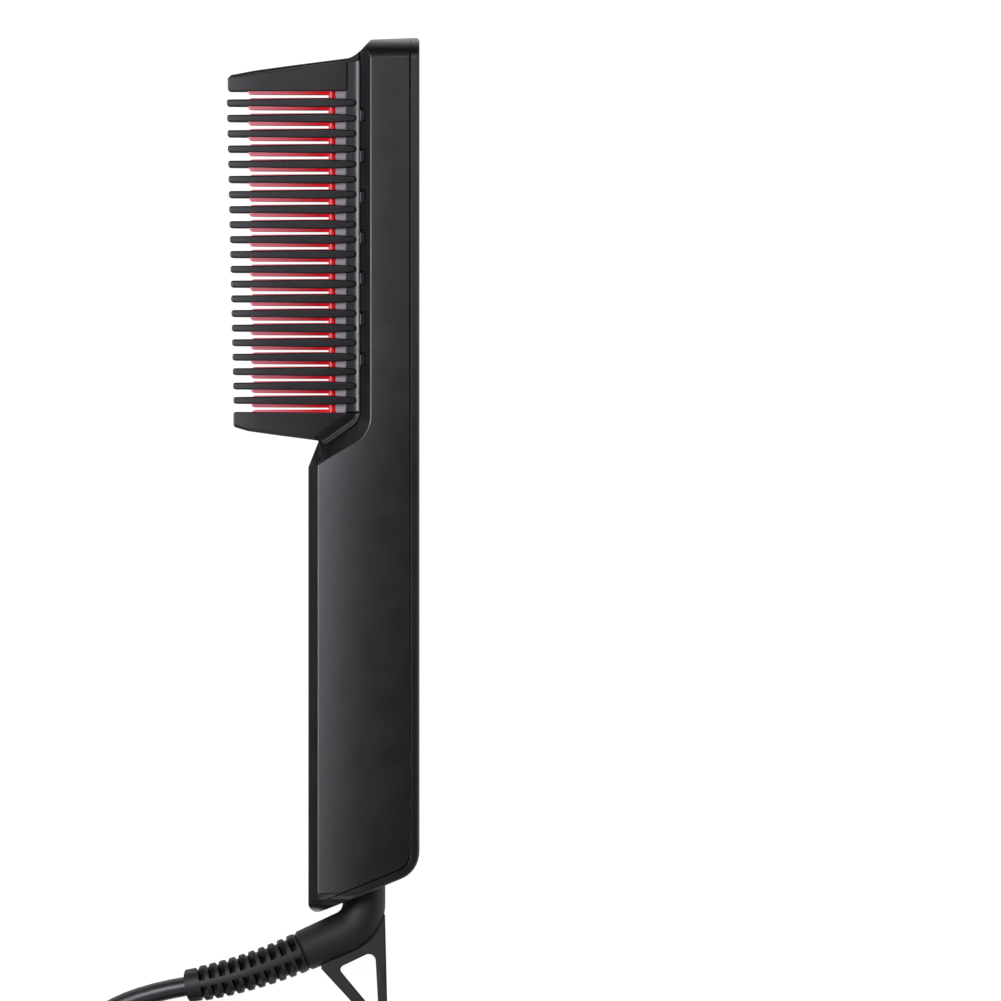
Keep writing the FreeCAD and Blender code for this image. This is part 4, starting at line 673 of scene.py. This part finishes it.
def seat_curve(offset, end_y):
    """Line of the guard's seat moved off the housing: foot run, knee arc and straight run up to end_y. The
    foot's end first slides along the handle's edge, and beyond the limit it moves square to the run."""
    slide, across, limit = np.array([-0.877, 0.481]), 0.898, 2.6
    slope = math.atan2(KNEE[1] - FOOT[1], KNEE[0] - FOOT[0])
    square = np.array([-math.sin(slope), math.cos(slope)])
    foot = np.array(FOOT) + slide * min(offset, limit) / across + square * max(offset - limit, 0)
    knee = np.array([SEAT - offset, KNEE[1] + offset / math.cos(slope) - math.tan(slope) * offset])
    end = np.array([SEAT - offset, end_y])
    arc = fillet(knee, foot, end, KNEE_RADIUS - offset, 17)
    return np.vstack([straight(foot, arc[0], 8)[:-1], arc, straight(arc[-1], end, 260)[1:]])


def tip_line(x):
    """Sloping top of the far end tooth."""
    return GAP_HIGH + 10.2 - (-6.1 - x) / 38.1 * 5.5


# Across the guard's border, from the teeth out to the housing: distance off the seat, height over the middle
# beside the teeth, and the same height along the near end tooth. The slope rises to the outer bead.
BORDER = (
    (5.1, 10.6, 10.6), (5.1, 12.1, 13.3), (5.0, 12.17, 13.37), (4.7, 12.2, 13.37), (4.4, 12.22, 13.36),
    (3.7, 12.27, 13.29), (3.0, 12.33, 13.2), (2.4, 12.41, 13.1), (2.0, 12.48, 13.05), (1.7, 12.56, 13.06),
    (1.4, 12.67, 13.11), (1.1, 12.81, 13.21), (0.8, 12.96, 13.33), (0.55, 13.05, 13.4), (0.3, 13.08, 13.42),
    (0.1, 13.03, 13.38), (-0.05, 12.92, 13.27), (-0.15, 12.72, 13.05), (-0.2, 12.3, 12.6),
    (-0.22, 11.4, 11.4), (0.0, 11.3, 11.3), (0.0, 10.6, 10.6),
)


def border(sign):
    """Border along the seat: each row is the seat's line moved inwards, its height easing from the low to
    the high profile at the near end tooth."""
    rows = []
    for off, low, high in BORDER:
        line = seat_curve(off, UPPER - 7.6 - 0.235 * off)
        share = ease((GAP_LOW + 0.2 - line[:, 1]) / 0.9)
        rows.append(np.column_stack([line, MID + sign * (low + (high - low) * share)]))
    return np.array(rows).transpose(1, 0, 2), True


# Half a rib from just past its tip to its root: X, half its width there, radius of the corner.
RIB = ((-34.0, 1.2, 60.0), (-21.5, 1.4, 60.0), (-11.0, 1.5, 8.0), (-6.0, 1.26, 8.0), (-2.6, 0.98, 0.75))


def guard_sheets(sign, sizes):
    """One side comb: border swept along the seat, ribs, end teeth and snap tabs as rounded plates."""
    def slab(corners, inner, outer, radius, steps=4):
        """Plate between two distances from the middle, on this comb's side."""
        low, high = sorted((MID + sign * inner, MID + sign * outer))
        return plate(corners, low, high, radius, steps)

    lean, tabs, first_tab, tab_pitch = 2.2, 7, 17.1, 13.5
    sheets = [border(sign)]
    for i in range(sizes.rib_count):
        y = tooth_y(i, sizes)
        half = [(NEAR_TIP - lean * i / (sizes.rib_count - 1), 1.12, 0.75), *RIB]
        corners = [(x, y - h, r) for x, h, r in half] + [(x, y + h, r) for x, h, r in half[::-1]]
        sheets.append(slab(corners, GUARD_INNER + 0.4, GUARD_FACE, 0.5, 5))
    far = [(-45.1, GAP_HIGH, 0.9), (-5.4, GAP_HIGH, 1.5), (-5.4, tip_line(-5.4) - 0.5, 0.5),
           (-45.1, tip_line(-45.1) + 0.1, 0.7)]
    seat = seat_curve(4.4, GAP_LOW)[:24]
    near = [(NEAR_TIP, GAP_LOW, 0.9), *[tuple(p) for p in seat[::-1]], *heel_line(0.55)[::-1]]
    sheets += [slab(corners, GUARD_INNER, GUARD_FACE, 0.45) for corners in (far, near)]
    for i in range(tabs):
        y = GAP_LOW + first_tab + tab_pitch * i
        corners = [(-1.4, y - 2.0, 0.2), (0.5, y - 2.0, 0.5), (0.5, y + 2.0, 0.5), (-1.4, y + 2.0, 0.2)]
        sheets.append(slab(corners, 12.0, 13.2, 0.45))
    return sheets


def heel_line(rise):
    """Lower edge of the near end tooth from its tip to the shoulder, moved up by rise."""
    return [(NEAR_TIP, LOWER + 160.9 + rise, 1.2), (-38.6, LOWER + 159.5 + rise, 9.0),
            (-27.2, LOWER + 157.9 + rise, 30.0), (-14.95 + rise, LOWER + 156.3 + rise)]


def cap_sheets():
    """Far and near end caps: plates between the side combs, whose rims roll over by a quarter circle."""
    top = [(-44.95, UPPER - 12.6, 0.9), (-36.0, UPPER - 10.9, 60.0), (-24.0, UPPER - 9.25, 60.0),
           (-8.1, UPPER - 7.2, 20.0), (-4.7, UPPER - 6.75, 4.0), (-2.7, UPPER - 5.65, 6.0),
           (-1.02, UPPER - 4.2)]
    under = [(-1.02, UPPER - 9.0), (-8.0, UPPER - 10.2), (-24.0, UPPER - 12.0), (-43.9, UPPER - 14.9, 0.8)]
    far = plate(top + under, MID - 12.15, MID + 12.15, 0.9, 6)
    low = heel_line(0.0)[:3] + [(-15.2, LOWER + 156.35, 0.3), (-16.5, LOWER + 160.4), (-27.2, LOWER + 161.2),
                                (-38.6, LOWER + 162.6), (NEAR_TIP, LOWER + 163.9, 0.8)]
    foot = [(-15.6, LOWER + 156.4), (-12.5, LOWER + 155.0, 0.3), (-7.0, LOWER + 158.9),
            (-15.0, LOWER + 161.0)]
    near = [plate(low, MID - 13.2, MID + 13.2, 0.8, 6), plate(foot, MID - 11.4, MID + 11.4, 0.3, 3)]
    return far, near


class OBJECT_OT_comb_guard(bpy.types.Operator):
    """Builds the two plain side combs and the end caps between them"""
    bl_idname = "object.comb_guard"
    bl_label = "Guard combs"

    def execute(self, context):
        finish, sizes = guard_nylon(), context.scene.comb_sizes
        far, near = cap_sheets()
        for name, sheets, node in (("guard_comb_left", guard_sheets(1, sizes), "guard_side_left"),
                                   ("guard_comb_right", guard_sheets(-1, sizes), "guard_side_right"),
                                   ("guard_cap_tip", [far], "guard_end_tip"),
                                   ("guard_cap_root", near, "guard_end_root")):
            piece(name, sheets, finish, "handle", node, crease=40)
        return {"FINISHED"}


class OBJECT_OT_comb_heater(bpy.types.Operator):
    """Builds the red heated teeth with their ridge and block, and finishes the tray behind them"""
    bl_idname = "object.comb_heater"
    bl_label = "Heated teeth"

    def execute(self, context):
        sizes = context.scene.comb_sizes
        last = sizes.rib_count + 1
        sheets = []
        for i in range(last + 1):
            y = tooth_y(i - 1, sizes) - 0.35
            tip = -37.9 + 0.65 * (1 - 2 * i / last)
            corners = [(tip, y - 1.95, 1.1), (-10.4, y - 2.1), (-10.4, y + 2.1), (tip, y + 1.95, 1.4)]
            sheets.append(plate(corners, MID - 7.5, MID + 7.5, 1.2, 6))
        low, high = tooth_y(-1, sizes) - 2.45, tooth_y(sizes.rib_count, sizes) + 1.75
        sheets.append(plate(rectangle(-11.7, low, -9.7, high, 0.2), MID - 9.7, MID + 9.7, 0.95, 7))
        sheets.append(plate(rectangle(-9.9, low + 0.1, -5.0, high - 0.1, 0.3), MID - 8.8, MID + 8.8, 0.3, 3))
        piece("heated_teeth", sheets, red_heater_coating(), "handle", "heater_comb", crease=40)
        tray = moulded("grey_heatproof_pbt", "#88878c", 0.5, 0.5, 0.02)
        softened("heater_carrier", "heater_tray", tray, 0.15)
        return {"FINISHED"}


# ---------------------------------------------------------------- body
class OBJECT_OT_comb_housing(bpy.types.Operator):
    """Finishes the housing and the frame round the display face with soft moulded edges"""
    bl_idname = "object.comb_housing"
    bl_label = "Housing"

    def execute(self, context):
        soft = context.scene.comb_sizes.edge_softness
        softened("rear_housing", "housing_shell", housing_abs(), soft, angle=20.0)
        softened("front_frame", "face_frame", housing_abs(), soft / 2, angle=20.0)
        return {"FINISHED"}


# Lit segments of each figure, lettered clockwise from the top, with g in the middle.
SEGMENTS = {"2": "abged", "1": "bc", "0": "abcdef", "C": "adef"}
# Each figure and its middle over the lower end.
FIGURES = (("2", 140.4), ("1", 133.7), ("0", 127.1), ("C", 117.2))
# From just off the inlay to the top of a print on it.
ON_FACE = (FACE + 0.005, FACE + 0.04)


def seven_segments(glyph, centre_y, centre_z):
    """Slanted seven-segment figure as thin bars: read along -Y with its top towards -Z."""
    w, h, stroke, gap, point, slant = 4.9 / 2, 9.6 / 2, 1.15, 0.12, 0.22, math.tan(math.radians(8))
    flat = np.array([[-1, 0], [point - 1, 1], [1 - point, 1], [1, 0], [1 - point, -1], [point - 1, -1]])
    sheets = []
    for s in SEGMENTS[glyph]:
        if s in "agd":
            v = {"a": h - stroke / 2, "g": 0.0, "d": -h + stroke / 2}[s]
            shape = flat * [w - stroke / 2 - gap, stroke / 2] + [0, v]
        else:
            u = w - stroke / 2 if s in "bc" else -w + stroke / 2
            v = h / 2 - stroke / 4 if s in "bf" else -h / 2 + stroke / 4
            shape = flat[:, ::-1] * [stroke / 2, h / 2 - stroke / 4 - gap] + [u, v]
        shape[:, 0] += shape[:, 1] * slant
        sheets.append(plate([(centre_y - u, centre_z - v) for u, v in shape], *ON_FACE, 0.01, 1))
    return sheets


def ring_bar(cy, cz, radius, width, start, stop, low, high):
    """Bar bent round part of a circle, angles in degrees from +Y towards +Z."""
    t = np.radians(np.linspace(start, stop, 40))
    ring = np.stack([np.cos(t), np.sin(t)], 1)
    centre = np.array([cy, cz])
    path = np.vstack([centre + (radius + width / 2) * ring, centre + (radius - width / 2) * ring[::-1]])
    return plate([tuple(p) for p in path], low, high, 0.02, 1)


def bar(cy, cz, along_y, along_z, low, high):
    """Flat rectangular bar about (cy, cz)."""
    a, b = along_y / 2, along_z / 2
    return plate(rectangle(cy - a, cz - b, cy + a, cz + b), low, high, 0.02, 1)


class OBJECT_OT_comb_face(bpy.types.Operator):
    """Finishes the gloss inlay, trim rings and keys, and adds the display's figures and the keys' signs"""
    bl_idname = "object.comb_face"
    bl_label = "Display face"

    def execute(self, context):
        softened("front_panel", "gloss_inlay", gloss_inlay(), 0.12, angle=20.0, segments=2)
        softened("button_rims", "key_rims", metal("bright_trim_plating", "#c9cacd", 0.16), 0.12, segments=2)
        key_finish = moulded("satin_key_abs", "#3a3a3d", 0.34, 0.4, 0.01)
        marks = moulded("grey_key_print", "#6a6a6e", 0.4, 0.3, 0.004)
        for name in ("power", "minus", "plus"):
            softened(f"button_{name}", f"key_{name}", key_finish, 0.15)
            low, high = span(f"button_{name}")
            y, at = (low[1] + high[1]) / 2, (high[0] + 0.004, high[0] + 0.03)
            if name == "power":
                signs = [ring_bar(y, MID, 1.35, 0.42, 40, 320, *at), bar(y + 1.25, MID, 1.7, 0.42, *at)]
            else:
                signs = [bar(y, MID, 0.45, 3.2, *at)]
            if name == "plus":
                signs.append(bar(y, MID, 3.2, 0.45, *at))
            piece(f"sign_{name}", signs, marks, f"button_{name}", plane="yz")
        z = MID - 0.9
        figures = [sheet for glyph, y in FIGURES for sheet in seven_segments(glyph, LOWER + y, z)]
        figures.append(ring_bar(LOWER + 122.9, z - 3.6, 0.75, 0.5, 0, 350, *ON_FACE))
        piece("display_figures", figures, glowing_segments(), "handle", plane="yz")
        return {"FINISHED"}


class OBJECT_OT_comb_plug(bpy.types.Operator):
    """Finishes the plug's grip and pins"""
    bl_idname = "object.comb_plug"
    bl_label = "Plug"

    def execute(self, context):
        softened("plug_body", "plug_grip", cord_pvc(), 0.4)
        coat(NODES["plug_pins"], metal("nickel_pin_plating", "#bfc0c2", 0.2))
        return {"FINISHED"}


class OBJECT_OT_comb_inside(bpy.types.Operator):
    """Finishes the pieces inside the housing"""
    bl_idname = "object.comb_inside"
    bl_label = "Inner pieces"

    def execute(self, context):
        steel = metal("zinc_plated_steel", "#9a9b9d", 0.35)
        brass = metal("turned_brass", "#b9975a", 0.3)
        black = moulded("black_component_epoxy", "#1b1b1c", 0.5, 0.3, 0.01)
        finishes = {
            "control_board": moulded("green_solder_mask", "#1f5a35", 0.35, 0.6, 0.01),
            "led_display": moulded("dark_display_block", "#1c1d20", 0.3, 0.5, 0.005),
            "film_capacitor": moulded("yellow_capacitor_box", "#b3862a", 0.4, 0.5, 0.01),
            "fuse": moulded("fuse_glass_body", "#c9cfcc", 0.15, 0.5, 0.002),
            "heating_elements": moulded("alumina_plate", "#d9d4c8", 0.6, 0.4, 0.02),
            "temperature_sensor": moulded("sensor_glass_bead", "#a8753c", 0.2, 0.5, 0.002),
            "heater_leads": moulded("white_silicone_sleeve", "#c4c4c0", 0.55, 0.6, 0.02),
            "supply_leads": moulded("blue_wire_pvc", "#2d4a80", 0.4, 0.6, 0.01),
        }
        plunger = moulded("red_switch_plunger", "#8d2222", 0.4, 0.5, 0.01)
        shared = (
            (steel, "heater_clamp clamp_screws head_screws board_screws thermal_cutout swivel_clip"),
            (brass, "slip_rings contact_springs"),
            (black, "tact_switches microcontroller triac swivel_retainer slip_ring_core contact_holder"),
            (plunger, "plunger_power plunger_minus plunger_plus"),
        )
        for finish, names in shared:
            finishes.update({name: finish for name in names.split()})
        for name, finish in finishes.items():
            coat(NODES[name], finish)
        return {"FINISHED"}


# ---------------------------------------------------------------- stage
# name, place, aim, size in metres, watts
LAMPS = (
    ("overhead_softbox", (-0.4, 0.06, 1.12), (0.0, 0.03, 0.0), (0.45, 0.45), 2.7),
    ("left_softbox", (-0.66, 0.08, 0.95), (0.0, 0.0, 0.0), (0.35, 0.35), 8.5),
    ("low_softbox", (0.0, -0.8, 0.75), (0.0, 0.0, 0.0), (0.5, 0.45), 1.6),
    ("fill_softbox", (0.22, 0.4, 1.1), (0.0, 0.0, 0.0), (0.35, 0.35), 2.1),
    ("face_softbox", (1.0, -0.05, 0.16), (0.0, -0.02, 0.02), (0.5, 0.2), 1.2),
)
LAMP_TINT = (1.0, 0.965, 1.05)
FLOOR_HALF = 6.0                     # metres
FLOOR_GLOW = 1.13                    # strength of the floor's glow
GLOW_SHARE = 0.86                    # part of the floor's look that is glow, the rest is matt
ROOM_LIGHT = 0.08                    # strength of the backdrop for anything but the camera
CAMERA_DISTANCE = 10.0               # metres, so the view is nearly parallel
CAMERA_AIM = (45.3, LOWER + 136.5)   # millimetres
VIEW_WIDTH = 0.3321                  # metres of the scene from the frame's left to its right
SENSOR = 36.0                        # millimetres


def lay_floor(scene):
    """Matt floor. For the camera and in reflections most of it is an even glow that lights nothing else."""
    mesh = bpy.data.meshes.new("floor")
    s = FLOOR_HALF
    mesh.from_pydata([(-s, -s, 0), (s, -s, 0), (s, s, 0), (-s, s, 0)], [], [(0, 1, 2, 3)])
    floor = bpy.data.objects.new("floor", mesh)
    scene.collection.objects.link(floor)
    material = bpy.data.materials.new("pale_floor")
    tree = bare_tree(material)
    colour = scene.comb_stage.floor_colour
    matt = add_node(tree, "ShaderNodeBsdfDiffuse", {"Color": colour})
    glow = add_node(tree, "ShaderNodeEmission", {"Color": colour, "Strength": FLOOR_GLOW})
    ray = add_node(tree, "ShaderNodeLightPath").outputs
    seen = result_of(tree, "MAXIMUM", ray["Is Camera Ray"], ray["Is Glossy Ray"])
    seen = result_of(tree, "MAXIMUM", seen, ray["Is Transmission Ray"])
    share = result_of(tree, "MULTIPLY", seen, GLOW_SHARE)
    mix = add_node(tree, "ShaderNodeMixShader", {0: share, 1: matt.outputs[0], 2: glow.outputs[0]})
    add_node(tree, "ShaderNodeOutputMaterial", {"Surface": mix.outputs[0]})
    mesh.materials.append(material)


def hang_backdrop(scene):
    """World in the floor's colour, full for the camera and faint for the pieces."""
    world = bpy.data.worlds.new("soft_room")
    scene.world = world
    tree = bare_tree(world)
    ray = add_node(tree, "ShaderNodeLightPath").outputs
    power = carried(tree, ray["Is Camera Ray"], ROOM_LIGHT, 1.0)
    sky = add_node(tree, "ShaderNodeBackground", {"Color": scene.comb_stage.floor_colour, "Strength": power})
    add_node(tree, "ShaderNodeOutputWorld", {"Surface": sky.outputs[0]})


def hang_lamps(scene):
    """Rectangular softboxes, each turned to its aim and hidden from the camera."""
    for name, place_at, aim, size, power in LAMPS:
        data = bpy.data.lights.new(name, "AREA")
        data.shape = "RECTANGLE"
        data.size, data.size_y = size
        data.energy = power * scene.comb_stage.lamp_strength
        data.color = LAMP_TINT
        lamp = bpy.data.objects.new(name, data)
        lamp.location = place_at
        lamp.rotation_euler = (Vector(aim) - Vector(place_at)).to_track_quat("-Z", "Y").to_euler()
        lamp.visible_camera = False
        scene.collection.objects.link(lamp)


def set_camera(scene):
    """Distant camera straight above the comb, with the lens that gives the view's width."""
    data = bpy.data.cameras.new("camera")
    data.sensor_width = SENSOR
    data.lens = SENSOR * CAMERA_DISTANCE / VIEW_WIDTH
    data.clip_start, data.clip_end = 0.05, 40.0
    camera = bpy.data.objects.new("camera", data)
    camera.location = (CAMERA_AIM[0] * MM, CAMERA_AIM[1] * MM, CAMERA_DISTANCE + MID * MM)
    scene.collection.objects.link(camera)
    scene.camera = camera


class OBJECT_OT_comb_stage(bpy.types.Operator):
    """Lays the floor and sets the lamps, the backdrop and the camera"""
    bl_idname = "object.comb_stage"
    bl_label = "Stage"

    def execute(self, context):
        for part in (lay_floor, hang_backdrop, hang_lamps, set_camera):
            part(context.scene)
        context.scene.view_settings.view_transform = "Standard"
        return {"FINISHED"}


# ---------------------------------------------------------------- add-on
STEPS = ("comb_stage", "comb_plug", "comb_cord", "comb_swivel", "comb_housing", "comb_face", "comb_guard",
         "comb_heater", "comb_inside")


class VIEW3D_PT_comb(bpy.types.Panel):
    """Lists the settings and the steps"""
    bl_idname = "VIEW3D_PT_comb"
    bl_label = "Heated Comb"
    bl_space_type = "VIEW_3D"
    bl_region_type = "UI"
    bl_category = "Hot Comb"

    def draw(self, context):
        layout = self.layout
        for group in (context.scene.comb_sizes, context.scene.comb_stage):
            for key in group.__annotations__:
                layout.prop(group, key)
        for step in STEPS:
            layout.operator(f"object.{step}")


CLASSES = (
    CombSizes, CombStage, OBJECT_OT_comb_stage, OBJECT_OT_comb_plug, OBJECT_OT_comb_cord,
    OBJECT_OT_comb_swivel, OBJECT_OT_comb_housing, OBJECT_OT_comb_face, OBJECT_OT_comb_guard,
    OBJECT_OT_comb_heater, OBJECT_OT_comb_inside, VIEW3D_PT_comb,
)


def register():
    """Registers the classes and hangs both groups of settings on the scene."""
    for cls in CLASSES:
        bpy.utils.register_class(cls)
    bpy.types.Scene.comb_sizes = bpy.props.PointerProperty(type=CombSizes)
    bpy.types.Scene.comb_stage = bpy.props.PointerProperty(type=CombStage)


def unregister():
    """Takes off what register put on, in reverse."""
    del bpy.types.Scene.comb_stage
    del bpy.types.Scene.comb_sizes
    for cls in reversed(CLASSES):
        bpy.utils.unregister_class(cls)


def main():
    """Runs every step."""
    register()
    for step in STEPS:
        getattr(bpy.ops.object, step)()


if __name__ == "__main__":
    main()
